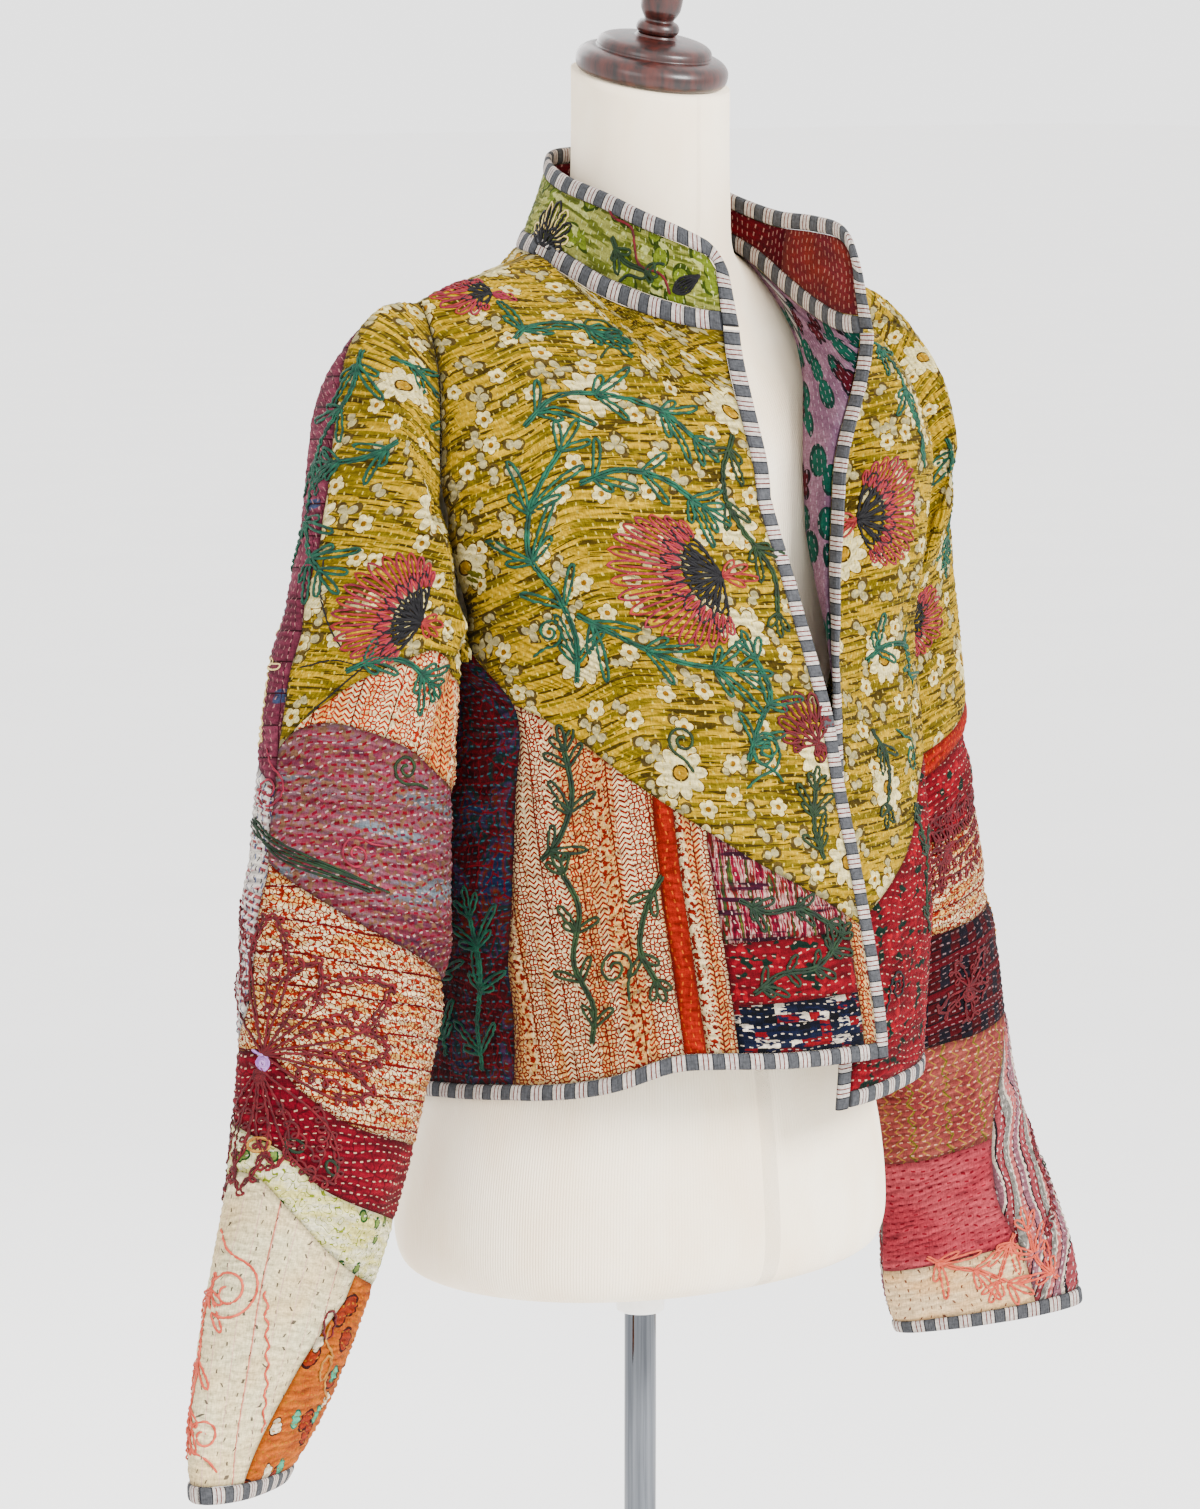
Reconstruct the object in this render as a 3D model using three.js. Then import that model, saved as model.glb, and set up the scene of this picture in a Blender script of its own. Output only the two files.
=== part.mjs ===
// A cropped patchwork jacket of quilted cloth, worn open on a limbless dress form with a pole stand.
// Millimetres, +Z up, wearer facing -Y, wearer's right at -X. The origin is under the middle of the base.
import * as THREE from 'three';

// ---------------------------------------------------------------- driving sizes
const CLOTH = 2.4;          // quilted cloth: two or three layers worked together
const LAYER = 1.3;          // one collar or facing layer
const SEAM = 0.3;           // clearance between neighbouring pieces
const ARMHOLE_GAP = 1.25;   // clearance between a sleeve head and the armhole
const SIDE_GAP = 1.4;       // extra clearance beside the underarm pieces
const COLLAR_LIFT = 0.85;   // clearance between the collar and the neckline
const BINDING = 10;         // width of the striped binding along every free edge
const PROUD = 1.0;          // how far the binding stands above the cloth on each face
const BOUND = CLOTH + 2 * PROUD;
const FULLNESS = 2.3;       // exponent of the plan section: 2 is an ellipse, more is squarer
const ARMPIT = 1133;        // height of the underarm point
const CHEST = 1225;         // above this the cloth turns over towards the shoulder
const STRAIGHT = 0.66;      // share of a panel's height below CHEST
const ROUND_FROM = 90;      // a front whose top lies this far back turns over fully
const TURN = Math.PI / 4;   // how far a front or back turns over towards the shoulder
const RIDGE = 16;           // how narrow the rounding along the shoulder seam is
const SHOULDER_Y = 8;       // the shoulder seam lies a little behind the middle
const SHOULDER_GAP = 0.15;  // extra clearance on each side of it
const SLEEVE_LENGTH = 620;  // along the sleeve's middle line

// ---------------------------------------------------------------- tables
// A table has named columns. It is read between its rows along a smooth curve through them.
function table(names, rows) {
  const keys = names.split(' ').slice(1);
  const place = rows.map((row) => row[0]);
  const slope = (i, k) => {
    const a = Math.max(i - 1, 0);
    const b = Math.min(i + 1, rows.length - 1);
    return (rows[b][k] - rows[a][k]) / (place[b] - place[a]);
  };
  return (at) => {
    const t = Math.min(Math.max(at, place[0]), place[place.length - 1]);
    let i = 0;
    while (i < place.length - 2 && t > place[i + 1]) i += 1;
    const span = place[i + 1] - place[i];
    const s = (t - place[i]) / span;
    const value = {};
    keys.forEach((key, index) => {
      const k = index + 1;
      const bend = s * (1 - s);
      const rise = rows[i + 1][k] - rows[i][k];
      const start = slope(i, k) * span - rise;
      const end = slope(i + 1, k) * span - rise;
      value[key] = rows[i][k] + rise * s + bend * (start * (1 - s) - end * s);
    });
    return value;
  };
}

// Plan section of the jacket body at each height: half width, depth in front, depth behind.
const BODY = table('z half front back', [
  [845, 154, 188, 140],
  [900, 158, 187, 142],
  [950, 164, 183, 142],
  [1000, 168, 175, 140],
  [1050, 167, 168, 138],
  [1100, 164, 164, 136],
  [1133, 165, 160, 134],
  [1170, 178, 153, 130],
  [1225, 195, 143, 124],
  [1250, 199, 141, 121],
]);
// Where the front and back pieces end: at the side pieces, and above them at the armholes.
const OUTER = table('z front back', [
  [845, 150, 138],
  [900, 152, 143],
  [950, 157, 149],
  [1000, 158.5, 150],
  [1050, 156.5, 148],
  [1100, 153.5, 148],
  [1133, 162, 153],
  [1170, 174, 163],
  [1225, 189, 178],
]);
// The front edges: how far each lies from the middle. The wearer's right front laps over the left.
const RIGHT_EDGE = table('z x', [[845, 43], [900, 38], [975, 30], [1051, 18], [1097, 10], [1156, -4], [1225, -20]]);
const LEFT_EDGE = table('z x', [[845, 8], [1000, 12], [1066, 15], [1102, 20], [1145, 28], [1189, 35], [1225, 41]]);
const DIP = 42;             // depth of the fold beside the left front's edge, which stands forward
// How far the left front lies inside the right one, and how deep it dips before its edge stands forward.
const LEFT_LAY = table('z inside dip', [
  [845, 16, 0],
  [900, 12, 0],
  [1000, 7, 0],
  [1060, 6, 3],
  [1100, 6, 11],
  [1145, 5, 25],
  [1189, 3, 37],
  [1225, 0, DIP],
]);
const CROWD = 0.85;         // how much of the left front's width is gathered beside that fold
const DIP_AT = 0.68;        // where across the left front the dip is deepest
// Hem height along each piece, from its outer end to its inner end.
const RIGHT_HEM = table('u z', [[0, 867], [0.12, 878], [0.25, 892], [0.35, 894], [0.6, 891.5], [1, 888.5]]);
const LEFT_HEM = table('u z', [[0, 862], [1, 858]]);
const BACK_HEM = table('u z', [[0, 850], [0.5, 854], [1, 862]]);
const RIGHT_SIDE_HEM = table('u z', [[0, 867], [0.5, 857], [1, 850]]);
const LEFT_SIDE_HEM = table('u z', [[0, 862], [1, 862]]);
// The shoulder seam from the neck point (0) to the armhole (1), SHOULDER_Y behind the middle.
const SHOULDER = table('share x z', [[0, 80, 1365], [0.2, 98, 1360], [0.53, 128, 1350.5], [1, 165, 1338]]);
// The neckline of each front from the neck point (0) to the front edge (1), and of the back to its middle.
const RIGHT_NECK = table('share x y z', [
  [0, 80, 8, 1365],
  [0.2, 78, -20, 1354],
  [0.42, 73, -52, 1341],
  [0.64, 64, -86, 1331],
  [0.82, 52, -112, 1325],
  [1, 38, -134, 1323],
]);
const LEFT_NECK = table('share x y z', [
  [0, 80, 8, 1365],
  [0.2, 79, -20, 1353],
  [0.42, 75, -52, 1337],
  [0.64, 68, -86, 1325],
  [0.82, 63, -115, 1318],
  [1, 62, -141, 1318],
]);
const BACK_NECK = table('share x y z', [[0, 80, 8, 1365], [0.2, 70, 34, 1367.5], [0.55, 40, 58, 1370], [1, 0, 66, 1371]]);
const NECK_POINT = 0.62;    // the neck point's share across a front
const BACK_NECK_POINT = 0.5;  // and from the back's middle to its armhole
// Top edge of the standing collar, from the right front end round the back to the left front end.
const COLLAR_TOP = table('u x y z', [
  [0, -34, -116, 1370],
  [0.08, -50, -97, 1382],
  [0.16, -60, -74, 1391],
  [0.25, -66, -44, 1402],
  [0.33, -66, -8, 1411],
  [0.4, -56, 22, 1419],
  [0.46, -32, 46, 1425],
  [0.5, 0, 54, 1426],
  [0.54, 33, 47, 1422],
  [0.6, 58, 22, 1411],
  [0.67, 69, -4, 1398],
  [0.76, 77, -38, 1388],
  [0.86, 80, -70, 1385],
  [0.94, 77, -97, 1380],
  [1, 70, -119, 1364],
]);
// Sleeve sections. Centre out from the middle and up, half width across, half thickness, tilt of the
// section plane from level, turn about the vertical, all along the sleeve's middle line.
const SLEEVE = table('along out z wide thick tilt turn', [
  [0, 165.6, 1235.5, 102.5, 80, 90, 0],
  [13, 179, 1231.5, 105.5, 80, 83.4, 0],
  [27, 190.5, 1223, 101, 74, 77.4, 0],
  [43, 197, 1210, 93.5, 66, 71.5, -1],
  [63, 202, 1190.5, 83, 59, 65.2, -3],
  [88, 206, 1166, 73, 52, 56.8, -6],
  [118, 212, 1136, 67, 47, 46.4, -10],
  [149, 219, 1105.5, 65, 44, 37.2, -15],
  [183, 225, 1070, 64, 42, 28, -20],
  [228, 230, 1027, 62, 41, 19, -23],
  [270, 234, 985, 63, 42, 13, -21],
  [315, 238, 940, 64, 44, 8, -14],
  [355, 243, 900, 62, 45, 8, -6],
  [401, 250, 855, 60, 43, 9, 0],
  [448, 261, 810, 58, 39, 11, 3],
  [495, 274, 765, 59, 33, 12, 8],
  [542, 287, 720, 64, 27, 12, 16],
  [584, 299, 680, 67, 23, 10, 24],
  [620, 309, 645, 63, 20, 8, 34],
]);
// The jacket sits turned a little on the form: the right sleeve hangs forward, the left one back.
const SLEEVE_LEAN = table('along right left', [
  [0, 0, 0], [40, -2, 3], [85, -4, 12], [150, -7, 16], [300, -7, 15], [450, -5, 9], [620, 3, 8],
]);

// ---------------------------------------------------------------- surfaces
const lerp = (a, b, t) => a + (b - a) * t;
const smooth = (t) => {
  const s = Math.min(Math.max(t, 0), 1);
  return s * s * (3 - 2 * s);
};
const point = (x, y, z) => new THREE.Vector3(x, y, z);

function depth(z, x, face) {
  const body = BODY(z);
  const across = Math.min(Math.abs(x) / body.half, 1);
  return body[face] * (1 - across ** FULLNESS) ** (1 / FULLNESS);
}

// A panel rises from the hem to the chest along the body's section, then turns over to its top edge
// through TURN, or nearly straight where the top edge is close above (`round` below 1). At the shoulder
// seam it levels out, so that front and back meet there without an edge.
function turnOver(low, top, v, round, level) {
  if (v <= STRAIGHT) return low;
  const t = (v - STRAIGHT) / (1 - STRAIGHT);
  const over = lerp(0.5 * (t + t * t), (1 - Math.cos(TURN * t)) / (1 - Math.cos(TURN)), round);
  const up = lerp(t, Math.sin(TURN * t) / Math.sin(TURN), round);
  const ridge = level ? (TURN / Math.tan(TURN)) * (1 - t) * t ** RIDGE : 0;
  return point(lerp(low.x, top.x, smooth(t)), lerp(low.y, top.y, over), lerp(low.z, top.z, up + ridge));
}
function shoulder(share, side) {
  const line = SHOULDER(share);
  return point(line.x, SHOULDER_Y + side * SHOULDER_GAP, line.z);
}

// u runs from the side piece or armhole to the front edge, v from the hem to the top.
function rightFront(u, v) {
  const z = lerp(RIGHT_HEM(u).z, CHEST, Math.min(v / STRAIGHT, 1));
  const x = lerp(-OUTER(z).front, RIGHT_EDGE(z).x, u);
  return frontTurned(point(x, -depth(z, x, 'front'), z), -1, RIGHT_NECK, u, v);
}

function leftFront(u, v) {
  const z = lerp(LEFT_HEM(u).z, CHEST, Math.min(v / STRAIGHT, 1));
  const lay = LEFT_LAY(z);
  const crowd = CROWD * (lay.dip / DIP);
  const x = lerp(OUTER(z).front, LEFT_EDGE(z).x, lerp(u, 1 - (1 - u) ** 3, crowd));
  const stand = Math.max((u - DIP_AT) / (1 - DIP_AT), 0);
  const dip = lay.dip * smooth(u / DIP_AT) * (1 - stand * stand);
  const y = -depth(z, x, 'front') + lay.inside * smooth(u / 0.6) + dip;
  return frontTurned(point(x, y, z), 1, LEFT_NECK, u, v);
}

function frontTurned(low, side, neck, u, v) {
  const level = u < NECK_POINT;
  const top = level ? shoulder(1 - u / NECK_POINT, -1) : neck((u - NECK_POINT) / (1 - NECK_POINT));
  const round = Math.min((top.y - low.y) / ROUND_FROM, 1);
  return turnOver(low, point(side * top.x, top.y, top.z), v, round, level);
}

// u runs across the back from the wearer's right to left.
function back(u, v) {
  const z = lerp(BACK_HEM(u).z, CHEST, Math.min(v / STRAIGHT, 1));
  const x = lerp(-OUTER(z).back, OUTER(z).back, u);
  const out = 2 * u - 1;
  const away = Math.abs(out);
  const level = away > BACK_NECK_POINT;
  const top = level
    ? shoulder((away - BACK_NECK_POINT) / (1 - BACK_NECK_POINT), 1)
    : BACK_NECK(1 - away / BACK_NECK_POINT);
  return turnOver(point(x, depth(z, x, 'back'), z), point(Math.sign(out) * top.x, top.y, top.z), v, 1, level);
}

// The underarm piece wraps round the side: u from the front piece to the back piece, v hem to armpit.
function sidePiece(side, hem) {
  return (u, v) => {
    const z = lerp(hem(u).z, ARMPIT, v);
    const body = BODY(z);
    const outer = OUTER(z);
    const start = Math.asin((outer.front / body.half) ** (FULLNESS / 2)) + SIDE_GAP / body.half;
    const end = Math.PI - Math.asin((outer.back / body.half) ** (FULLNESS / 2)) - SIDE_GAP / body.half;
    const round = lerp(start, end, u);
    const cosine = Math.cos(round);
    const reach = Math.abs(cosine) ** (2 / FULLNESS);
    const y = cosine > 0 ? -body.front * reach : body.back * reach;
    return point(side * body.half * Math.sin(round) ** (2 / FULLNESS), y, z);
  };
}
const rightSide = sidePiece(-1, RIGHT_SIDE_HEM);
const leftSide = sidePiece(1, LEFT_SIDE_HEM);

Object.assign(rightFront, { out: 1 });
Object.assign(leftFront, { out: -1 });
Object.assign(back, { out: -1 });
rightSide.out = -1;
leftSide.out = 1;

// Panel height share v at a given height, for a panel whose hem is at `hem`.
const rise = (z, hem) => ((z - hem) / (CHEST - hem)) * STRAIGHT;

// The armhole, as seen from the sleeve: 0 at the shoulder, quarter at the front, half at the armpit.
const CORNER = 0.36;        // share of the loop from the shoulder to the front end of the side piece
function armhole(side, round) {
  const a = round - Math.floor(round);
  const front = a <= 0.5;
  const way = front ? a : 1 - a;
  const panel = side < 0 ? rightFront : leftFront;
  const hem = front ? (side < 0 ? RIGHT_HEM : LEFT_HEM)(0) : BACK_HEM(side < 0 ? 0 : 1);
  const low = rise(ARMPIT, hem.z);
  if (way < CORNER) {
    const v = lerp(1, low, way / CORNER);
    return front ? panel(0, v) : back(side < 0 ? 0 : 1, v);
  }
  const wrap = side < 0 ? rightSide : leftSide;
  const share = ((way - CORNER) / (0.5 - CORNER)) * 0.5;
  return wrap(front ? share : 1 - share, 1);
}

function sleeveSection(side, round, along) {
  const row = SLEEVE(along);
  const tilt = THREE.MathUtils.degToRad(row.tilt);
  const turn = THREE.MathUtils.degToRad(row.turn);
  const lean = SLEEVE_LEAN(along)[side < 0 ? 'right' : 'left'];
  const centre = point(side * row.out, lean - 3, row.z);
  const wide = point(side * Math.cos(turn) * Math.cos(tilt), -Math.sin(turn), Math.sin(tilt));
  wide.normalize().multiplyScalar(row.wide);
  const thick = point(-side * Math.sin(turn), -Math.cos(turn), 0).multiplyScalar(row.thick);
  const angle = round * 2 * Math.PI;
  return centre.addScaledVector(wide, Math.cos(angle)).addScaledVector(thick, Math.sin(angle));
}

// u runs once round the sleeve from the top of the shoulder over the front, v from armhole to cuff.
function sleeve(side) {
  return (u, v) => {
    const along = v * SLEEVE_LENGTH;
    const section = sleeveSection(side, u, along);
    const join = armhole(side, u).sub(sleeveSection(side, u, 0));
    join.x += side * ARMHOLE_GAP;
    return section.addScaledVector(join, 1 - smooth(along / 60));
  };
}
const rightSleeve = sleeve(-1);
const leftSleeve = sleeve(1);
rightSleeve.out = -1;
leftSleeve.out = 1;
// The share v along a sleeve whose middle line is at a given height.
const SLEEVE_AT = table('drop v', [
  [-1235.5, 0], [-1190.5, 63], [-1136, 118], [-1070, 183], [-1027, 228], [-985, 270], [-940, 315],
  [-900, 355], [-855, 401], [-810, 448], [-765, 495], [-720, 542], [-680, 584], [-645, 620],
]);
const down = (z) => SLEEVE_AT(-z).v / SLEEVE_LENGTH;

// The neckline round the body: u from the right front end round the back to the left front end.
const NECK_TURN = 0.33;     // share of the neckline in front of each neck point
function neckline(u) {
  if (u < NECK_TURN) return rightFront(lerp(1, NECK_POINT, u / NECK_TURN), 1);
  if (u > 1 - NECK_TURN) return leftFront(lerp(NECK_POINT, 1, (u - 1 + NECK_TURN) / NECK_TURN), 1);
  const across = (u - NECK_TURN) / (1 - 2 * NECK_TURN);
  return back(0.5 + (across - 0.5) * BACK_NECK_POINT, 1);
}
// The collar stands on the neckline and rises to its own top edge, bulging a little between.
function collar(u, v) {
  const foot = neckline(u);
  foot.z += COLLAR_LIFT;
  const top = COLLAR_TOP(u);
  return foot.lerp(point(top.x, top.y, top.z), v);
}
collar.out = -1;

// ---------------------------------------------------------------- cloth walls
const STEP = 1e-4;
function frameAt(surface, u, v) {
  const alongU = surface(u + STEP, v).sub(surface(u - STEP, v)).divideScalar(2 * STEP);
  const alongV = surface(u, v + STEP).sub(surface(u, v - STEP)).divideScalar(2 * STEP);
  const normal = alongU.clone().cross(alongV).normalize();
  return { normal, perU: 1 / alongU.length(), perV: 1 / alongV.length() };
}

// A closed wall between an outer and an inner grid of points with the same rows and columns.
function closedWall(outer, inner) {
  const rows = outer.length;
  const columns = outer[0].length;
  const positions = [];
  [outer, inner].forEach((grid) => grid.forEach((row) => row.forEach((p) => positions.push(p.x, p.y, p.z))));
  const far = rows * columns;
  const id = (layer, r, c) => layer * far + r * columns + c;
  const index = [];
  const quad = (a, b, c, d) => index.push(a, b, c, a, c, d);
  for (let r = 0; r < rows - 1; r += 1) {
    for (let c = 0; c < columns - 1; c += 1) {
      quad(id(0, r, c), id(0, r, c + 1), id(0, r + 1, c + 1), id(0, r + 1, c));
      quad(id(1, r, c), id(1, r + 1, c), id(1, r + 1, c + 1), id(1, r, c + 1));
    }
  }
  for (let c = 0; c < columns - 1; c += 1) {
    quad(id(0, 0, c), id(1, 0, c), id(1, 0, c + 1), id(0, 0, c + 1));
    quad(id(0, rows - 1, c), id(0, rows - 1, c + 1), id(1, rows - 1, c + 1), id(1, rows - 1, c));
  }
  for (let r = 0; r < rows - 1; r += 1) {
    quad(id(0, r, 0), id(0, r + 1, 0), id(1, r + 1, 0), id(1, r, 0));
    quad(id(0, r, columns - 1), id(1, r, columns - 1), id(1, r + 1, columns - 1), id(0, r + 1, columns - 1));
  }
  return outwards(positions, index);
}

// The same faces, turned so that the body they close has a positive volume.
function outwards(positions, index) {
  let volume = 0;
  const corner = (i) => new THREE.Vector3().fromArray(positions, 3 * index[i]);
  for (let i = 0; i < index.length; i += 3) volume += corner(i).dot(corner(i + 1).cross(corner(i + 2)));
  const faces = volume > 0 ? index : index.reverse();
  const geometry = new THREE.BufferGeometry();
  geometry.setAttribute('position', new THREE.Float32BufferAttribute(positions, 3));
  geometry.setIndex(faces);
  geometry.computeVertexNormals();
  return geometry;
}

const steps = (from, to, count) => Array.from({ length: count + 1 }, (_, i) => lerp(from, to, i / count));

function addWallPoint(outer, inner, surface, u, v, raise, thick) {
  const { normal } = frameAt(surface, u, v);
  const base = surface(u, v);
  outer.push(base.clone().addScaledVector(normal, surface.out * raise));
  inner.push(base.clone().addScaledVector(normal, surface.out * (raise - thick)));
}

// A cloth piece is a grid on a surface: columns of u crossed by lines, each a function giving v at a u.
// The first and last column and line stand half a seam inside the piece's own outline.
function clothPiece({ surface, columns, lines, raise = 0, thick = CLOTH }) {
  const outer = [];
  const inner = [];
  lines.forEach((line, r) => {
    outer.push([]);
    inner.push([]);
    columns.forEach((column, c) => {
      const seat = frameAt(surface, column, line(column));
      const gapU = 0.5 * SEAM * seat.perU;
      const gapV = 0.5 * SEAM * seat.perV;
      const u = column + (c === 0 ? gapU : 0) - (c === columns.length - 1 ? gapU : 0);
      const v = line(column) + (r === 0 ? gapV : 0) - (r === lines.length - 1 ? gapV : 0);
      addWallPoint(outer[r], inner[r], surface, u, v, raise, thick);
    });
  });
  return closedWall(outer, inner);
}
// Lines in equal steps from one seam to the next.
const between = (low, high, count) => steps(0, 1, count).map((t) => (u) => lerp(low(u), high(u), t));

// A folded binding follows a path of places. Each place is a surface, a point on its edge and a point
// one binding's width inside it.
function boundPath(places) {
  const outer = [[], []];
  const inner = [[], []];
  places.forEach(({ surface, edge, within }) => {
    addWallPoint(outer[0], inner[0], surface, edge[0], edge[1], PROUD, BOUND);
    addWallPoint(outer[1], inner[1], surface, within[0], within[1], PROUD, BOUND);
  });
  return closedWall(outer, inner);
}

// Part of a surface between two lines u = from(v) and u = to(v), as a surface of its own.
function strip(surface, from, to) {
  const across = (s, v) => lerp(from(v), to(v), s);
  const part = (s, v) => surface(across(s, v), v);
  part.out = surface.out;
  part.across = across;
  return part;
}

// ---------------------------------------------------------------- scene
const jacket = new THREE.Group();
function add(name, geometry, colour, { roughness = 0.9, metalness = 0 } = {}) {
  const material = new THREE.MeshStandardMaterial({ color: colour, roughness, metalness });
  const mesh = new THREE.Mesh(geometry, material);
  mesh.name = name;
  jacket.add(mesh);
  return mesh;
}
const COLOUR = {
  mustard: 0xb8921f, brocade: 0xe0b07c, orange: 0xc8421e, plaid: 0xa07a80, red: 0x9c2438, navy: 0x3a3c55,
  dark: 0x4a2a33, plum: 0x99505c, mauve: 0x9a6f78, cream: 0xf3e4cf, print: 0xd8d2a0, ochre: 0xd07a2a,
  lime: 0xa9b65a, maroon: 0x7e2438, rose: 0xa14a4a, lilac: 0xa98a98, binding: 0x9a9ca6, coral: 0xc4645c,
  pink: 0xc8606a, form: 0xf1e6d0, wood: 0x4a1c14, chrome: 0xd0d4d8, white: 0xf0efec,
};
const none = () => 0;
const whole = () => 1;

// ---- fronts: the cloth ends at the binding, which has a surface of its own along the edge
const NEAR_EDGE = 0.96;     // where along a front the binding's width is measured
const boundShare = (surface) => (v) => BINDING * frameAt(surface, NEAR_EDGE, v).perU;
const rightShare = boundShare(rightFront);
const leftShare = boundShare(leftFront);
const rightCloth = strip(rightFront, none, (v) => 1 - rightShare(v));
const leftCloth = strip(leftFront, none, (v) => 1 - leftShare(v));
const rightBound = strip(rightFront, (v) => 1 - rightShare(v), whole);
const leftBound = strip(leftFront, (v) => 1 - leftShare(v), whole);
const hemBand = (surface, u) => BINDING * frameAt(surface, u, 0.01).perV;
const hemOf = (surface) => (u) => hemBand(surface, u);
// The column at a neck point stands just on its shoulder side.
const BESIDE = 3 * STEP;
const rightNeck = (NECK_POINT - BESIDE) / (1 - rightShare(1));
const leftNeck = (NECK_POINT - BESIDE) / (1 - leftShare(1));
const backNeck = 0.5 * (1 - BACK_NECK_POINT) - BESIDE;

const RIGHT_COLUMNS = [0, 0.1, 0.2, 0.3, 0.36, 0.455, 0.565, rightNeck, 0.75, 0.84, 0.94, 1];
// Height of the slanting seam under the mustard cloth, from the side piece to the front edge.
const RIGHT_SLANT = table('u z', [
  [0, 1106], [0.105, 1088], [0.3, 1056], [0.57, 1020], [0.83, 991], [0.94, 978], [1, 970],
]);
const rightAt = (z) => (u) => rise(z, RIGHT_HEM(u).z);
const rightSlant = (u) => rise(RIGHT_SLANT(u).z, RIGHT_HEM(u).z);
const rightHem = hemOf(rightCloth);
const PLAID_LOW = 968;
const RED_LOW = 931;
function rightPiece(name, colour, from, to, lines) {
  const columns = RIGHT_COLUMNS.filter((u) => u >= from && u <= to);
  add(name, clothPiece({ surface: rightCloth, columns, lines }), colour);
}
const rightUpper = between(rightSlant, whole, 13);
const rightLower = between(rightHem, rightSlant, 6);
rightPiece('front_right_mustard', COLOUR.mustard, 0, 1, rightUpper);
rightPiece('front_right_brocade', COLOUR.brocade, 0, 0.3, rightLower);
rightPiece('front_right_stripe', COLOUR.orange, 0.3, 0.36, rightLower);
rightPiece('front_right_inset', COLOUR.brocade, 0.36, 0.455, rightLower);
rightPiece('front_right_plaid', COLOUR.plaid, 0.455, 0.94, between(rightAt(PLAID_LOW), rightSlant, 2));
rightPiece('front_right_red', COLOUR.red, 0.455, 0.94, between(rightAt(RED_LOW), rightAt(PLAID_LOW), 2));
rightPiece('front_right_check', COLOUR.navy, 0.455, 0.94, between(rightHem, rightAt(RED_LOW), 2));
rightPiece('front_right_edge_strip', COLOUR.brocade, 0.94, 1, rightLower);

const FACING_FROM = 0.78;
const FACING_BOUND_FROM = 0.7;
const LEFT_COLUMNS = [0, 0.13, 0.26, 0.38, 0.49, 0.58, leftNeck, FACING_BOUND_FROM, FACING_FROM, 0.84, 0.9, 0.95, 1];
const LEFT_SLANT = table('u z', [[0, 1078], [0.26, 1048], [0.5, 1010], [0.75, 985], [1, 965]]);
const leftSlant = (u) => rise(LEFT_SLANT(u).z, LEFT_HEM(u).z);
const leftUpper = between(leftSlant, whole, 14);
const leftLower = between(hemOf(leftCloth), leftSlant, 6);
add('front_left_mustard', clothPiece({ surface: leftCloth, columns: LEFT_COLUMNS, lines: leftUpper }), COLOUR.mustard);
add('front_left_kantha', clothPiece({ surface: leftCloth, columns: LEFT_COLUMNS, lines: leftLower }), COLOUR.red);
// The facing lies under the cloth beside the left front edge, on the same grid as the cloth.
const FACING_ROWS = { from: 2, to: 12 };
const underCloth = { surface: leftCloth, lines: leftUpper.slice(FACING_ROWS.from, FACING_ROWS.to + 1) };
add('facing_left', clothPiece({
  ...underCloth, columns: LEFT_COLUMNS.filter((u) => u >= FACING_FROM), raise: -CLOTH - SEAM, thick: LAYER,
}), COLOUR.lilac);
add('binding_facing', clothPiece({
  surface: leftCloth, lines: underCloth.lines.slice(0, -2),
  columns: LEFT_COLUMNS.filter((u) => u >= FACING_BOUND_FROM && u <= FACING_FROM),
  raise: -CLOTH - SEAM, thick: LAYER + PROUD,
}), COLOUR.binding);

// ---- sides and back
const SIDE_COLUMNS = [0, 0.178, 0.346, 0.5, 0.663, 0.836, 1];
// Their rows meet the rows of the front beside them up to its slanting seam.
function sideLines(surface, hem, slant) {
  const seam = (u) => (slant(0).z - hem(u).z) / (ARMPIT - hem(u).z);
  return [...between(hemOf(surface), seam, 6), ...between(seam, whole, 2).slice(1)];
}
add('side_right', clothPiece({
  surface: rightSide, columns: SIDE_COLUMNS, lines: sideLines(rightSide, RIGHT_SIDE_HEM, RIGHT_SLANT),
}), COLOUR.dark);
add('side_left', clothPiece({
  surface: leftSide, columns: SIDE_COLUMNS, lines: sideLines(leftSide, LEFT_SIDE_HEM, LEFT_SLANT),
}), COLOUR.dark);
const BACK_COLUMNS = [0, 0.1, 0.19, backNeck, 0.29, 0.375, 0.5, 0.625, 0.71, 1 - backNeck, 0.81, 0.9, 1];
const BACK_SEAM = 1070;
const backSeam = (u) => rise(BACK_SEAM, BACK_HEM(u).z);
function backPiece(name, colour, lines) {
  add(name, clothPiece({ surface: back, columns: BACK_COLUMNS, lines }), colour);
}
backPiece('back_mustard', COLOUR.mustard, between(backSeam, whole, 12));
backPiece('back_brocade', COLOUR.brocade, between(hemOf(back), backSeam, 6));

// ---- sleeves: each divides at the overarm line into a front half and a back half
const RIGHT_OVERARM = table('drop u', [
  [-1338, -0.06], [-1218, -0.015], [-1176, 0.02], [-1127, 0.045], [-1073, 0.07], [-1000, 0.07],
  [-950, 0.045], [-925, 0.02], [-895, -0.08], [-850, -0.1], [-645, -0.1],
]);
const LEFT_OVERARM = table('drop u', [
  [-1338, 0.05], [-930, 0.07], [-860, 0.1], [-825, 0.16], [-795, 0.21], [-740, 0.225], [-690, 0.19],
  [-645, 0.17],
]);
const heightAt = (v) => SLEEVE(v * SLEEVE_LENGTH).z;
const UNDERARM = 0.5;
const underarm = () => UNDERARM;
const overarm = (line) => (v) => line(-heightAt(v)).u;
const rightFore = strip(rightSleeve, overarm(RIGHT_OVERARM), underarm);
const rightRear = strip(rightSleeve, underarm, (v) => 1 + overarm(RIGHT_OVERARM)(v));
const leftFore = strip(leftSleeve, overarm(LEFT_OVERARM), underarm);
const leftRear = strip(leftSleeve, underarm, (v) => 1 + overarm(LEFT_OVERARM)(v));
const CUFF = 1 - BINDING / SLEEVE_LENGTH;
const cuffLine = () => CUFF;
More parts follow.
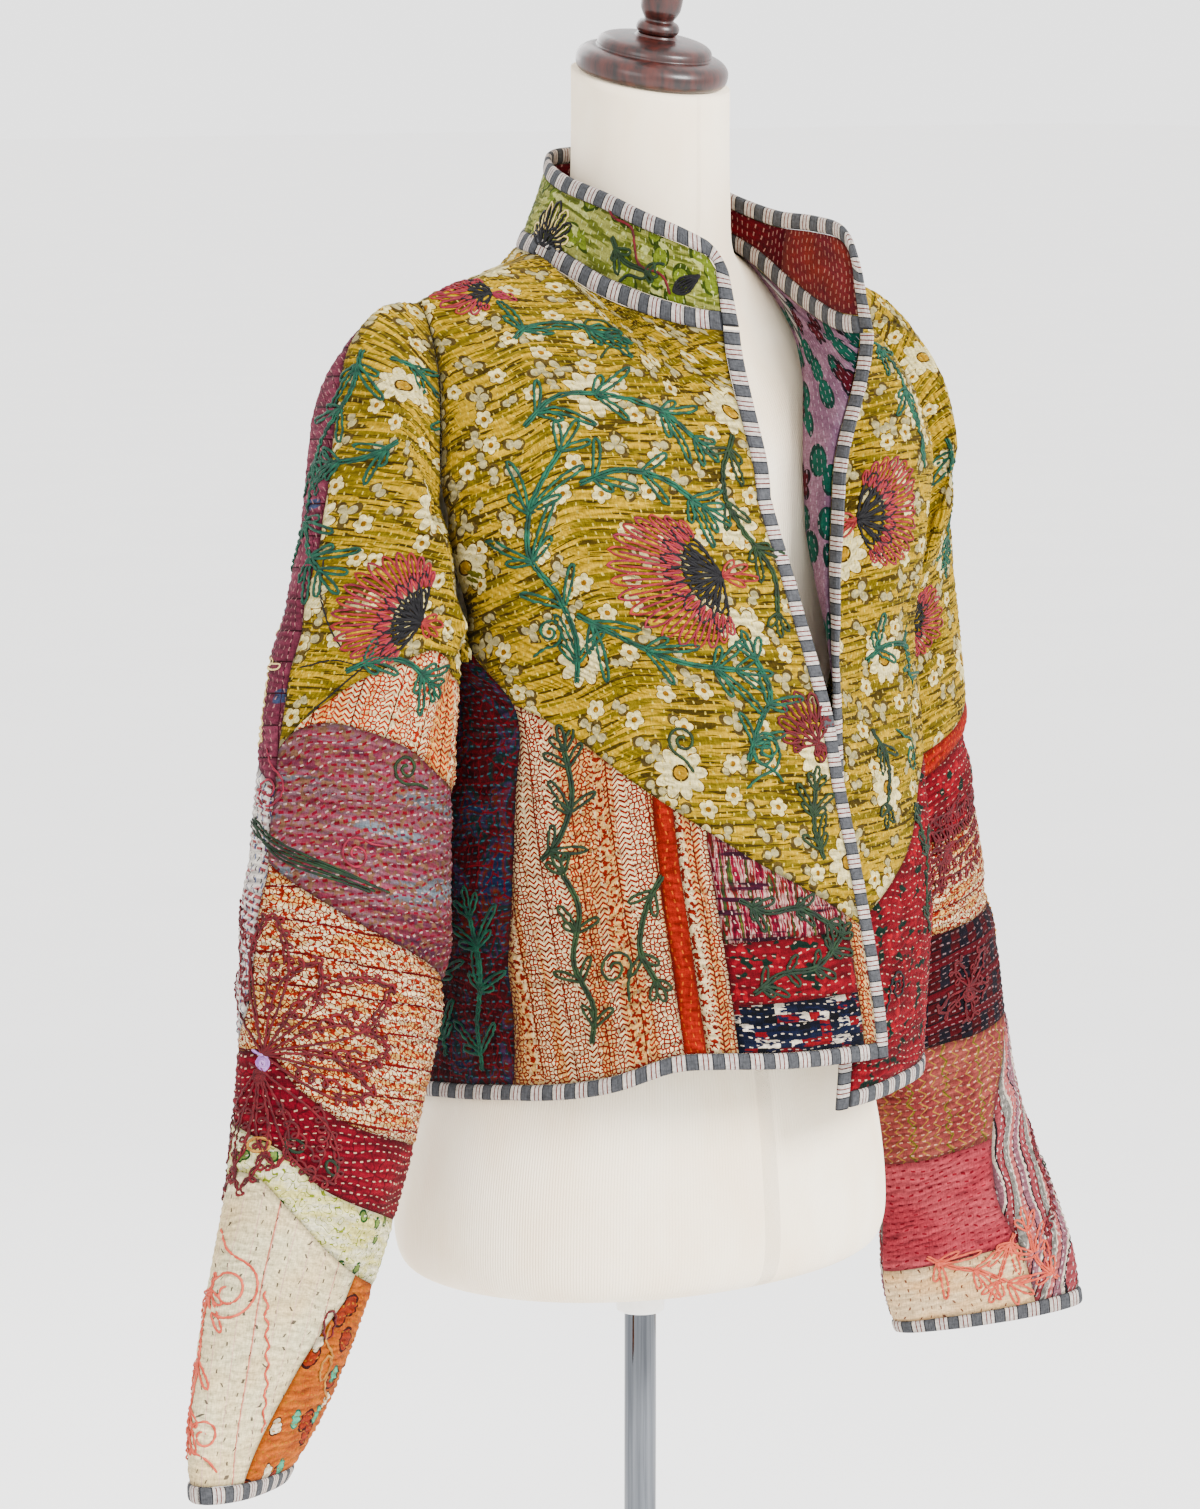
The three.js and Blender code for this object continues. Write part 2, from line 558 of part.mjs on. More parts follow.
const at = (z) => () => down(z);
const along = (seam) => (s) => down(seam(s).z);
const OCHRE_TOP = 0.67;
const FORE_COLUMNS = [0, 0.07, 0.2, 0.32, 0.45, 0.56, OCHRE_TOP, 0.79, 0.9, 1];
const REAR_COLUMNS = [0, 0.08, 0.165, 0.245, 0.4, 0.55, 0.7, 0.85, 1];
function sleevePiece(name, colour, surface, lines, columns = FORE_COLUMNS) {
  add(name, clothPiece({ surface, columns, lines }), colour);
}
// A line of the back half that meets a line of the front half at the underarm, and another at the overarm.
const rearLine = (under, over) => (s) => lerp(under(1), over(0), s);

// Seams across the right sleeve, by share round the front half from the overarm to the underarm line.
const WEDGE_FROM = 0.07;
const WEDGE_POINT = 1.2;    // depth of the wedge where it runs out to a point
const HEAD_LOW = table('s z', [
  [0, 1060], [WEDGE_FROM, 1072], [0.2, 1093], [0.32, 1113], [0.45, 1136], [0.56, 1156], [0.79, 1170], [1, 1176],
]);
const WEDGE_LOW = table('s z', [
  [0, 1060], [WEDGE_FROM, 1072 - WEDGE_POINT], [0.2, 1082], [0.32, 1087], [0.45, 1091], [0.56, 1092],
  [0.79, 1086], [1, 1080],
]);
const MAUVE_LOW = table('s z', [[0, 1004], [0.29, 990], [0.475, 979], [0.72, 963], [1, 943]]);
const LOOPED_LOW = table('s z', [[0, 897], [0.25, 900], [0.37, 883], [0.53, 864], [0.79, 852], [1, 846]]);
const CRIMSON_LOW = table('s z', [[0, 860], [0.32, 846], [0.48, 825], [0.73, 811], [1, 804]]);
const PRINT_LOW = table('s z', [
  [0, 822], [0.24, 829], [0.41, 808], [0.53, 790], [OCHRE_TOP, 776], [0.85, 768], [1, 762],
]);
const OCHRE = table('drop s', [[-760, OCHRE_TOP], [-742, 0.6], [-703, 0.525], [-672, 0.467], [-645, 0.4]]);
const ochreLine = (v) => OCHRE(-heightAt(v)).s;
const rightForearm = strip(rightFore, none, ochreLine);
const rightInner = strip(rightFore, ochreLine, whole);
const FOREARM_COLUMNS = FORE_COLUMNS.filter((s) => s <= OCHRE_TOP).map((s) => s / OCHRE_TOP);
const INNER_COLUMNS = FORE_COLUMNS.filter((s) => s >= OCHRE_TOP).map((s) => (s - OCHRE_TOP) / (1 - OCHRE_TOP));
const head = between(none, along(HEAD_LOW), 9);
const wedge = between(along(HEAD_LOW), along(WEDGE_LOW), 2);
const mauve = between(along(WEDGE_LOW), along(MAUVE_LOW), 4);
const looped = between(along(MAUVE_LOW), along(LOOPED_LOW), 4);
const crimson = between(along(LOOPED_LOW), along(CRIMSON_LOW), 2);
const print = between(along(CRIMSON_LOW), along(PRINT_LOW), 2);
const FOREARM_ROWS = 6;
const forearm = between((s) => down(PRINT_LOW(s * OCHRE_TOP).z), cuffLine, FOREARM_ROWS);
const inner = between((s) => down(PRINT_LOW(lerp(OCHRE_TOP, 1, s)).z), cuffLine, FOREARM_ROWS);
sleevePiece('sleeve_right_mustard', COLOUR.mustard, rightFore, head);
sleevePiece('sleeve_right_wedge', COLOUR.brocade, rightFore, wedge, FORE_COLUMNS.filter((s) => s >= WEDGE_FROM));
sleevePiece('sleeve_right_mauve', COLOUR.mauve, rightFore, mauve);
sleevePiece('sleeve_right_looped', COLOUR.brocade, rightFore, looped);
sleevePiece('sleeve_right_crimson', COLOUR.red, rightFore, crimson);
sleevePiece('sleeve_right_print', COLOUR.print, rightFore, print);
sleevePiece('sleeve_right_cream', COLOUR.cream, rightForearm, forearm, FOREARM_COLUMNS);
sleevePiece('sleeve_right_ochre', COLOUR.ochre, rightInner, inner, INNER_COLUMNS);
// The back half's lines: the front half's own lines, with the wedge's shared out at the overarm.
const shoulderLines = head.map((line) => rearLine(line, line));
const elbowUnder = [...wedge, ...mauve.slice(1)];
const elbowOver = between(wedge[0], along(MAUVE_LOW), elbowUnder.length - 1);
const elbowLines = elbowUnder.map((line, i) => rearLine(line, elbowOver[i]));
const armLines = [...looped, ...crimson.slice(1), ...print.slice(1)].map((line) => rearLine(line, line));
const wristLines = forearm.map((line, i) => rearLine(inner[i], line));
sleevePiece('sleeve_right_plum', COLOUR.plum, rightRear, [...shoulderLines, ...elbowLines.slice(1, 3)], REAR_COLUMNS);
sleevePiece('sleeve_right_dashed', COLOUR.cream, rightRear,
  [...elbowLines.slice(2), ...armLines.slice(1, looped.length)], REAR_COLUMNS);
sleevePiece('sleeve_right_rear', COLOUR.plum, rightRear,
  [...armLines.slice(looped.length - 1), ...wristLines.slice(1)], REAR_COLUMNS);

// Bands down the left sleeve: name, colour, height of the lower seam, rows.
const LEFT_BANDS = [
  ['mustard', COLOUR.mustard, 1052, 11],
  ['orange', COLOUR.orange, 1036, 1],
  ['dark_red', COLOUR.red, 988, 2],
  ['looped', COLOUR.brocade, 924, 3],
  ['check', COLOUR.dark, 850, 3],
  ['coral', COLOUR.coral, 775, 3],
  ['pink', COLOUR.pink, 697, 3],
];
const CUFF_ROWS = 2;
const leftLines = [none];
function leftBand(name, colour, low, rows) {
  const lines = between(leftLines[leftLines.length - 1], low, rows);
  sleevePiece(`sleeve_left_${name}`, colour, leftFore, lines);
  leftLines.push(...lines.slice(1));
}
LEFT_BANDS.forEach(([name, colour, low, rows]) => leftBand(name, colour, at(low), rows));
leftBand('cream', COLOUR.cream, cuffLine, CUFF_ROWS);
// The back half's pieces end at these rows of the bands in front.
const REAR_HEAD_ROWS = 12;
const NAVY_ROWS = 19;
sleevePiece('sleeve_left_rear_head', COLOUR.mustard, leftRear, leftLines.slice(0, REAR_HEAD_ROWS + 1), REAR_COLUMNS);
sleevePiece('sleeve_left_navy', COLOUR.navy, leftRear, leftLines.slice(REAR_HEAD_ROWS, NAVY_ROWS + 1), REAR_COLUMNS);
sleevePiece('sleeve_left_striped', COLOUR.lilac, leftRear, leftLines.slice(NAVY_ROWS), REAR_COLUMNS);

// ---- collar, worked in millimetres along the neckline and up the stand
const MEASURE = steps(0, 1, 240);
const runs = [0];
MEASURE.slice(1).forEach((u, i) => runs.push(runs[i] + neckline(u).distanceTo(neckline(MEASURE[i]))));
const COLLAR_LENGTH = runs[runs.length - 1];
const runAt = table('u length', MEASURE.map((u, i) => [u, runs[i]]));
const placeAt = table('length u', MEASURE.map((u, i) => [runs[i], u]));
const standHeight = (l) => collar(placeAt(l).u, 0).distanceTo(collar(placeAt(l).u, 1));
const flatCollar = (l, h) => collar(placeAt(l).u, h / standHeight(l));
flatCollar.out = collar.out;
const COLLAR_CORNER = 17;   // radius of the collar's front corners
const BENT = COLLAR_CORNER - BINDING;
// Height of the cloth under the binding, which falls round the corner near each end.
function clothTop(l) {
  const reach = Math.max(COLLAR_CORNER - Math.min(l, COLLAR_LENGTH - l), 0);
  return standHeight(l) - COLLAR_CORNER + Math.sqrt(Math.max(BENT * BENT - reach * reach, 0));
}
// The collar's columns stand over the columns of the fronts and the back.
const onNeck = (u) => runAt(u).length;
const aboveRight = (s) => onNeck(NECK_TURN * (1 - rightCloth.across(s, 1)) / (1 - NECK_POINT));
const aboveLeft = (s) => onNeck(1 - NECK_TURN * (1 - leftCloth.across(s, 1)) / (1 - NECK_POINT));
const aboveBack = (u) => onNeck(lerp(NECK_TURN, 1 - NECK_TURN, (u - 0.5) / BACK_NECK_POINT + 0.5));
const NECK_COLUMNS = [
  ...RIGHT_COLUMNS.filter((s) => s > rightNeck && s < 1).reverse().map(aboveRight),
  ...BACK_COLUMNS.filter((u) => u >= backNeck && u <= 1 - backNeck).map(aboveBack),
  ...LEFT_COLUMNS.filter((s) => s > leftNeck && s < 1).map(aboveLeft),
];
const middles = (list) => list.flatMap((l, i) => (i ? [0.5 * (list[i - 1] + l), l] : [l]));
const COLLAR_SPLIT = aboveLeft(FACING_FROM);
const STEEP = [2, 4.5];     // extra columns where the cloth's corner is steepest
const COLLAR_COLUMNS = [
  BINDING, ...STEEP.map((d) => BINDING + d), COLLAR_CORNER,
  ...middles(NECK_COLUMNS).filter((l) => l > COLLAR_CORNER + 4 && l < COLLAR_LENGTH - COLLAR_CORNER - 4),
  COLLAR_LENGTH - COLLAR_CORNER, ...[...STEEP].reverse().map((d) => COLLAR_LENGTH - BINDING - d),
  COLLAR_LENGTH - BINDING,
];
function collarPiece(name, colour, from, to, raise) {
  const columns = COLLAR_COLUMNS.filter((l) => l >= from && l <= to);
  const lines = between(() => BINDING, clothTop, 2);
  add(name, clothPiece({ surface: flatCollar, columns, lines, raise, thick: LAYER }), colour);
}
collarPiece('collar_outer', COLOUR.lime, 0, COLLAR_LENGTH, 0);
collarPiece('collar_lining_back', COLOUR.maroon, 0, COLLAR_SPLIT, -LAYER - SEAM);
collarPiece('collar_lining_left', COLOUR.rose, COLLAR_SPLIT, COLLAR_LENGTH, -LAYER - SEAM);

// ---- bindings
const edgeLines = (lower, upper) => [none, ...lower, ...upper.slice(1)].map((line) => () => line(1));
const bindEdge = (name, surface, lines) => add(name, clothPiece({
  surface, columns: [0, 1], lines, raise: PROUD, thick: BOUND,
}), COLOUR.binding);
bindEdge('binding_front_right', rightBound, edgeLines(rightLower, rightUpper));
bindEdge('binding_front_left', leftBound, edgeLines(leftLower, leftUpper));
const hemPlaces = (surface, list) => list.map((u) => (
  { surface, edge: [u, 0], within: [u, (1 - SEAM / BINDING) * hemBand(surface, u)] }));
const EDGE_CLEAR = 0.003;
const fromEdge = (columns) => [...columns].reverse();
const upToEdge = (columns) => [...columns.slice(0, -1), 1 - EDGE_CLEAR];
add('binding_hem', boundPath([
  ...hemPlaces(rightCloth, fromEdge(upToEdge(RIGHT_COLUMNS))),
  ...hemPlaces(rightSide, SIDE_COLUMNS.slice(1, -1)),
  ...hemPlaces(back, BACK_COLUMNS),
  ...hemPlaces(leftSide, fromEdge(SIDE_COLUMNS.slice(1, -1))),
  ...hemPlaces(leftCloth, upToEdge(LEFT_COLUMNS)),
]), COLOUR.binding);
// A cuff's binding runs once round from the underarm line, over the columns of the pieces above it.
function bindCuff(name, surface, rear, fore) {
  const rounds = [
    ...REAR_COLUMNS.map((s) => rear.across(s, 1)),
    ...fore.slice(1).map((u) => u + 1),
  ];
  const places = rounds.map((u, i) => {
    const join = i === 0 ? EDGE_CLEAR / 2 : (i === rounds.length - 1 ? -EDGE_CLEAR / 2 : 0);
    return { surface, edge: [u + join, 1], within: [u + join, CUFF + SEAM / SLEEVE_LENGTH] };
  });
  add(name, boundPath(places), COLOUR.binding);
}
bindCuff('binding_cuff_right', rightSleeve, rightRear, [
  ...FOREARM_COLUMNS.map((s) => rightFore.across(rightForearm.across(s, 1), 1)),
  ...INNER_COLUMNS.slice(1).map((s) => rightFore.across(rightInner.across(s, 1), 1)),
]);
bindCuff('binding_cuff_left', leftSleeve, leftRear, FORE_COLUMNS.map((s) => leftFore.across(s, 1)));

// The collar binding goes up the right end, round the corner, along the top and down the left end.
const END_LIFT = 1.6;       // the collar's binding starts this far above the front edges' bindings
function collarPlaces() {
  const inside = BINDING - SEAM;
  const put = (edge, within) => ({ surface: flatCollar, edge, within });
  const upEnd = (l, sign) => steps(0, 1, 2).map((t) => {
    const h = lerp(END_LIFT, standHeight(l) - COLLAR_CORNER, t);
    return put([l, h], [l + sign * inside, h]);
  });
  const roundCorner = (l, sign) => steps(0, 1, 4).slice(1, -1).map((t) => {
    const angle = t * (Math.PI / 2);
    const spot = (r) => {
      const place = l + sign * (COLLAR_CORNER - r * Math.cos(angle));
      return [place, standHeight(place) - COLLAR_CORNER + r * Math.sin(angle)];
    };
    return put(spot(COLLAR_CORNER), spot(COLLAR_CORNER - inside));
  });
  const top = COLLAR_COLUMNS.filter((l) => l >= COLLAR_CORNER && l <= COLLAR_LENGTH - COLLAR_CORNER)
    .map((l) => put([l, standHeight(l)], [l, standHeight(l) - inside]));
  return [
    ...upEnd(0, 1), ...roundCorner(0, 1), ...top,
    ...roundCorner(COLLAR_LENGTH, -1).reverse(), ...upEnd(COLLAR_LENGTH, -1).reverse(),
  ];
}
add('binding_collar', boundPath(collarPlaces()), COLOUR.binding);
add('binding_collar_seam', boundPath(
  COLLAR_COLUMNS.map((l) => ({ surface: flatCollar, edge: [l, 0], within: [l, BINDING - SEAM] })),
), COLOUR.binding);

// ---------------------------------------------------------------- dress form and stand
const FORM_SIDES = 32;
const FORM_FULLNESS = 2.1;
// Rings of the padded torso and neck. Each ring is `half` wide at height `side`, comes `front` forward at
// height `fore` and `back` backward at height `aft`, about a point `middle` behind the axis.
const FORM = table('ring half side front fore back aft middle', [
  [0, 133, 739, 100, 739, 96, 739, 0],
  [1, 152, 742, 117, 742, 111, 742, 0],
  [2, 162, 751, 128, 751, 121, 751, 0],
  [3, 165, 772, 132, 772, 126, 772, 0],
  [4, 161, 815, 129, 815, 124, 815, 0],
  [5, 148, 870, 121, 870, 117, 870, 0],
  [6, 131, 935, 107, 935, 103, 935, 0],
  [7, 117, 1000, 96, 1000, 88, 1000, 0],
  [8, 119, 1065, 97, 1065, 86, 1065, 0],
  [9, 130, 1130, 101, 1130, 90, 1130, 0],
  [10, 140, 1200, 102, 1195, 96, 1200, 0],
  [11, 150, 1262, 96, 1238, 94, 1252, 2],
  [12, 157, 1300, 86, 1266, 80, 1280, 5],
  [13, 155, 1322, 77, 1283, 66, 1298, 6],
  [14, 146, 1334, 69, 1295, 54, 1312, 6],
  [15, 126, 1345, 63, 1306, 46, 1325, 6],
  [16, 104, 1352, 57, 1316, 42, 1336, 5],
  [17, 82, 1358, 53, 1327, 42, 1346, 3],
  [18, 65, 1365, 50, 1343, 46, 1358, -1],
  [19, 53, 1377, 48, 1361, 48, 1377, -5],
  [20, 48.5, 1400, 47, 1388, 47.5, 1405, -8],
  [21, 47.5, 1434, 47, 1422, 47, 1446, -8],
  [22, 47.5, 1468, 47, 1457, 47, 1479, -8],
]);
const FORM_RINGS = [...steps(0, 4, 6), ...steps(4, 9, 8).slice(1), ...steps(9, 19, 20).slice(1), 20, 21, 22];
function loft(rings, place) {
  const positions = [];
  const index = [];
  rings.forEach((ring) => {
    for (let k = 0; k < FORM_SIDES; k += 1) positions.push(...place(ring, (2 * Math.PI * k) / FORM_SIDES).toArray());
  });
  const last = rings.length - 1;
  const id = (r, k) => r * FORM_SIDES + (k % FORM_SIDES);
  for (let r = 0; r < last; r += 1) {
    for (let k = 0; k < FORM_SIDES; k += 1) {
      index.push(id(r, k), id(r, k + 1), id(r + 1, k + 1), id(r, k), id(r + 1, k + 1), id(r + 1, k));
    }
  }
  for (let k = 1; k < FORM_SIDES - 1; k += 1) {
    index.push(id(0, 0), id(0, k + 1), id(0, k), id(last, 0), id(last, k), id(last, k + 1));
  }
  return outwards(positions, index);
}
const fuller = (value) => Math.sign(value) * Math.abs(value) ** (2 / FORM_FULLNESS);
function formPoint(ring, angle) {
  const row = FORM(ring);
  const forward = Math.cos(angle) > 0;
  const y = row.middle - (forward ? row.front : row.back) * fuller(Math.cos(angle));
  const z = lerp(row.side, forward ? row.fore : row.aft, Math.abs(fuller(Math.cos(angle))));
  return point(row.half * fuller(Math.sin(angle)), y, z);
}
add('form_torso', loft(FORM_RINGS, formPoint), COLOUR.form);

// A turned piece from rows of radius and height, which start and end on the axis.
function turned(profile, sides = 40) {
  return new THREE.LatheGeometry(profile.map(([r, z]) => new THREE.Vector2(r, z)), sides).rotateX(Math.PI / 2);
}
const NECK_NOD = Math.atan2(22, 94);   // the neck's top leans forward
const NECK_TOP = point(0, -8, 1468.6);
const CAP_HEIGHT = 27;
function onNeckTop(mesh, lift) {
  mesh.rotation.x = NECK_NOD;
  mesh.position.copy(NECK_TOP).add(point(0, -Math.sin(NECK_NOD), Math.cos(NECK_NOD)).multiplyScalar(lift));
}
const gloss = { roughness: 0.25 };
onNeckTop(add('neck_cap', turned([
  [0, 0], [43, 0], [45.5, 2], [46.5, 6], [46, 10], [43, 13.5], [38, 15.5], [35, 16], [35, 18], [34, 20.5],
  [31, 22.5], [24, 24], [14, 24.8], [12, CAP_HEIGHT], [0, CAP_HEIGHT],
]), COLOUR.wood, gloss), 0);
onNeckTop(add('finial', turned([
  [0, 0], [12, 0], [13.2, 3], [12, 6], [9, 8], [10.5, 11], [12.2, 15], [13, 26], [15.5, 40], [19, 54], [21, 66],
  [20, 78], [15, 88], [8.5, 94], [7, 97], [9.5, 101], [10.5, 106], [9, 112], [5, 116], [0, 117.5],
], 32), COLOUR.wood, gloss), CAP_HEIGHT + SEAM);

const BASE_RADIUS = 175;
const POLE_RADIUS = 10;
const POLE_TOP = 702;
const SOCKET_TOP = 738.7;
const HUB_TOP = 34;
add('stand_base', turned([
  [0, 0], [BASE_RADIUS - 2, 0], [BASE_RADIUS, 2], [BASE_RADIUS, 7], [BASE_RADIUS - 4, 10], [60, 16], [30, 20],
  [22, 24], [20, HUB_TOP], [0, HUB_TOP],
], 64), COLOUR.white, { roughness: 0.4 });
add('stand_pole', turned([
  [0, HUB_TOP + SEAM], [POLE_RADIUS, HUB_TOP + SEAM], [POLE_RADIUS, POLE_TOP], [0, POLE_TOP],
], 32), COLOUR.chrome, { roughness: 0.1, metalness: 1 });
const SOCKET_FOOT = POLE_TOP + SEAM;
add('stand_socket', turned([
  [0, SOCKET_FOOT], [14, SOCKET_FOOT], [15, SOCKET_FOOT + 1.5], [15, SOCKET_TOP - 1], [14, SOCKET_TOP],
  [0, SOCKET_TOP],
], 32), COLOUR.white, { roughness: 0.45 });

export default jacket;
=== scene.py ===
"""A cropped patchwork jacket of quilted cotton, worn open on a limbless dress form with a pole stand.

Metres, +Z up, wearer facing -Y, wearer's right at -X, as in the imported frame. Shapes are worked out in
millimetres from the same sizes and tables as the frame's solids, and each mesh is scaled to metres.
"""
import math

import bpy
import numpy as np
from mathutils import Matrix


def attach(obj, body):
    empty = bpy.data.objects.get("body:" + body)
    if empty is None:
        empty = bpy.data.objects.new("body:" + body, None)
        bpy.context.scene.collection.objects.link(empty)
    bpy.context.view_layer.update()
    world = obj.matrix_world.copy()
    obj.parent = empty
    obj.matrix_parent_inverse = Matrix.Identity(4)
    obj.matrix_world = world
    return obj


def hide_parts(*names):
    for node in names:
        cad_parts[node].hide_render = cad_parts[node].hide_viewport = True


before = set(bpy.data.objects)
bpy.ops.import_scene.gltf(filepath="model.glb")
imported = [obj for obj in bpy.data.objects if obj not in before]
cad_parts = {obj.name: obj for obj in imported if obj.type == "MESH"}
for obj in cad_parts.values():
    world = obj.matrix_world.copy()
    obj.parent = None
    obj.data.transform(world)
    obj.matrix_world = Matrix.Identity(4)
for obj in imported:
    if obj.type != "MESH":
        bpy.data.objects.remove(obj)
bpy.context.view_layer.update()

# ---- driving sizes, in millimetres
CLOTH = 2.4  # quilted cloth: two or three layers worked together
LAYER = 1.3  # one collar or facing layer
GAP = 0.3  # clearance between layers
SEAM = 0.12  # what shows open between two joined pieces
ARMHOLE_GAP = 0.1  # clearance between a sleeve head and the armhole
SIDE_GAP = 0.2  # extra clearance beside the underarm pieces
COLLAR_LIFT = 0.85  # clearance between the collar and the neckline
BINDING = 10.0  # width of the striped binding along every free edge
PROUD = 1.0  # how far the binding stands above the cloth on each face
FULLNESS = 2.3  # exponent of the plan section
ARMPIT, CHEST = 1133.0, 1225.0
STRAIGHT = 0.66  # share of a panel's height below CHEST
ROUND_FROM = 90.0  # a panel that leans back by this much turns over along the full arc
TURN = math.pi / 4  # angle of the arc along which a panel turns over at its top
RIDGE = 16  # power with which a shoulder levels out into its ridge
SHOULDER_Y = 8.0
SLEEVE_LENGTH = 620.0
SLEEVE_SET_FORWARD = 3.0  # the sleeve's middle line lies this far before the table's
SLEEVE_JOIN = 60.0  # over this length the sleeve's sections take over from the armhole's outline
DIP, CROWD, DIP_AT = 42.0, 0.85, 0.68  # the fold beside the left front's standing edge
TUCKED_BY = 0.6  # share of the left front at which it lies fully inside the right one
NECK_POINT, BACK_NECK_POINT = 0.62, 0.5  # shares of a front and of the back from the shoulder to the neck
CORNER = 0.36  # share of the armhole from the shoulder to the side piece
NECK_TURN = 0.33  # share of the neckline in front of each neck point
STEP = 1e-4  # the step in u and v over which slopes are taken
FINE_ACROSS, FINE_UP = 4.2, 1.65  # spacing of the outer face's points
COARSE = 3  # the inner face has every third point


# ---- tables
def table(names, rows):
    """A table with named columns, read between its rows along a smooth curve through them: the straight
    line between two rows, bent by s(1 - s) towards the slopes that each row's neighbours give."""
    keys = names.split()[1:]
    rows = np.array(rows, float)
    place = rows[:, 0]
    order = np.arange(len(rows))
    before, after = np.maximum(order - 1, 0), np.minimum(order + 1, len(rows) - 1)
    slope = (rows[after] - rows[before]) / (place[after] - place[before])[:, None]

    def read(at, key=keys[0]):
        k = keys.index(key) + 1
        t = np.clip(at, place[0], place[-1])
        i = np.clip(np.searchsorted(place, t) - 1, 0, len(rows) - 2)
        span = place[i + 1] - place[i]
        s = (t - place[i]) / span
        rise = rows[i + 1, k] - rows[i, k]
        start, end = slope[i, k] * span - rise, slope[i + 1, k] * span - rise
        return rows[i, k] + rise * s + s * (1 - s) * (start * (1 - s) - end * s)

    return read


BODY = table("z half front back", [
    [845, 154, 188, 140], [900, 158, 187, 142], [950, 164, 183, 142], [1000, 168, 175, 140],
    [1050, 167, 168, 138], [1100, 164, 164, 136], [1133, 165, 160, 134], [1170, 178, 153, 130],
    [1225, 195, 143, 124], [1250, 199, 141, 121],
])
OUTER = table("z front back", [
    [845, 150, 138], [900, 152, 143], [950, 157, 149], [1000, 158.5, 150], [1050, 156.5, 148],
    [1100, 153.5, 148], [1133, 162, 153], [1170, 174, 163], [1225, 189, 178],
])
RIGHT_EDGE = table("z x", [[845, 43], [900, 38], [975, 30], [1051, 18], [1097, 10], [1156, -4], [1225, -20]])
LEFT_EDGE = table("z x", [[845, 8], [1000, 12], [1066, 15], [1102, 20], [1145, 28], [1189, 35], [1225, 41]])
LEFT_LAY = table("z inside dip", [
    [845, 16, 0], [900, 12, 0], [1000, 7, 0], [1060, 6, 3], [1100, 6, 11], [1145, 5, 25], [1189, 3, 37],
    [1225, 0, 42],
])
RIGHT_HEM = table("u z", [[0, 867], [0.12, 878], [0.25, 892], [0.35, 894], [0.6, 891.5], [1, 888.5]])
LEFT_HEM = table("u z", [[0, 862], [1, 858]])
BACK_HEM = table("u z", [[0, 850], [0.5, 854], [1, 862]])
RIGHT_SIDE_HEM = table("u z", [[0, 867], [0.5, 857], [1, 850]])
LEFT_SIDE_HEM = table("u z", [[0, 862], [1, 862]])
SHOULDER = table("share x z", [[0, 80, 1365], [0.2, 98, 1360], [0.53, 128, 1350.5], [1, 165, 1338]])
RIGHT_NECK = table("share x y z", [
    [0, 80, 8, 1365], [0.2, 78, -20, 1354], [0.42, 73, -52, 1341], [0.64, 64, -86, 1331],
    [0.82, 52, -112, 1325], [1, 38, -134, 1323],
])
LEFT_NECK = table("share x y z", [
    [0, 80, 8, 1365], [0.2, 79, -20, 1353], [0.42, 75, -52, 1337], [0.64, 68, -86, 1325],
    [0.82, 63, -115, 1318], [1, 62, -141, 1318],
])
BACK_NECK = table("share x y z", [
    [0, 80, 8, 1365], [0.2, 70, 34, 1367.5], [0.55, 40, 58, 1370], [1, 0, 66, 1371],
])
COLLAR_TOP = table("u x y z", [
    [0, -34, -116, 1370], [0.08, -50, -97, 1382], [0.16, -60, -74, 1391], [0.25, -66, -44, 1402],
    [0.33, -66, -8, 1411], [0.4, -56, 22, 1419], [0.46, -32, 46, 1425], [0.5, 0, 54, 1426],
    [0.54, 33, 47, 1422], [0.6, 58, 22, 1411], [0.67, 69, -4, 1398], [0.76, 77, -38, 1388],
    [0.86, 80, -70, 1385], [0.94, 77, -97, 1380], [1, 70, -119, 1364],
])
SLEEVE = table("along out z wide thick tilt turn", [
    [0, 165.6, 1235.5, 102.5, 80, 90, 0], [13, 179, 1231.5, 105.5, 80, 83.4, 0],
    [27, 190.5, 1223, 101, 74, 77.4, 0], [43, 197, 1210, 93.5, 66, 71.5, -1],
    [63, 202, 1190.5, 83, 59, 65.2, -3], [88, 206, 1166, 73, 52, 56.8, -6],
    [118, 212, 1136, 67, 47, 46.4, -10], [149, 219, 1105.5, 65, 44, 37.2, -15],
    [183, 225, 1070, 64, 42, 28, -20], [228, 230, 1027, 62, 41, 19, -23], [270, 234, 985, 63, 42, 13, -21],
    [315, 238, 940, 64, 44, 8, -14], [355, 243, 900, 62, 45, 8, -6], [401, 250, 855, 60, 43, 9, 0],
    [448, 261, 810, 58, 39, 11, 3], [495, 274, 765, 59, 33, 12, 8], [542, 287, 720, 64, 27, 12, 16],
    [584, 299, 680, 67, 23, 10, 24], [620, 309, 645, 63, 20, 8, 34],
])
SLEEVE_LEAN = table("along right left", [
    [0, 0, 0], [40, -2, 3], [85, -4, 12], [150, -7, 16], [300, -7, 15], [450, -5, 9], [620, 3, 8],
])
SLEEVE_AT = table("drop v", [
    [-1235.5, 0], [-1190.5, 63], [-1136, 118], [-1070, 183], [-1027, 228], [-985, 270], [-940, 315],
    [-900, 355], [-855, 401], [-810, 448], [-765, 495], [-720, 542], [-680, 584], [-645, 620],
])
RIGHT_SLANT = table("u z", [
    [0, 1106], [0.105, 1088], [0.3, 1056], [0.57, 1020], [0.83, 991], [0.94, 978], [1, 970],
])
LEFT_SLANT = table("u z", [[0, 1078], [0.26, 1048], [0.5, 1010], [0.75, 985], [1, 965]])
RIGHT_OVERARM = table("drop u", [
    [-1338, -0.06], [-1218, -0.015], [-1176, 0.02], [-1127, 0.045], [-1073, 0.07], [-1000, 0.07],
    [-950, 0.045], [-925, 0.02], [-895, -0.08], [-850, -0.1], [-645, -0.1],
])
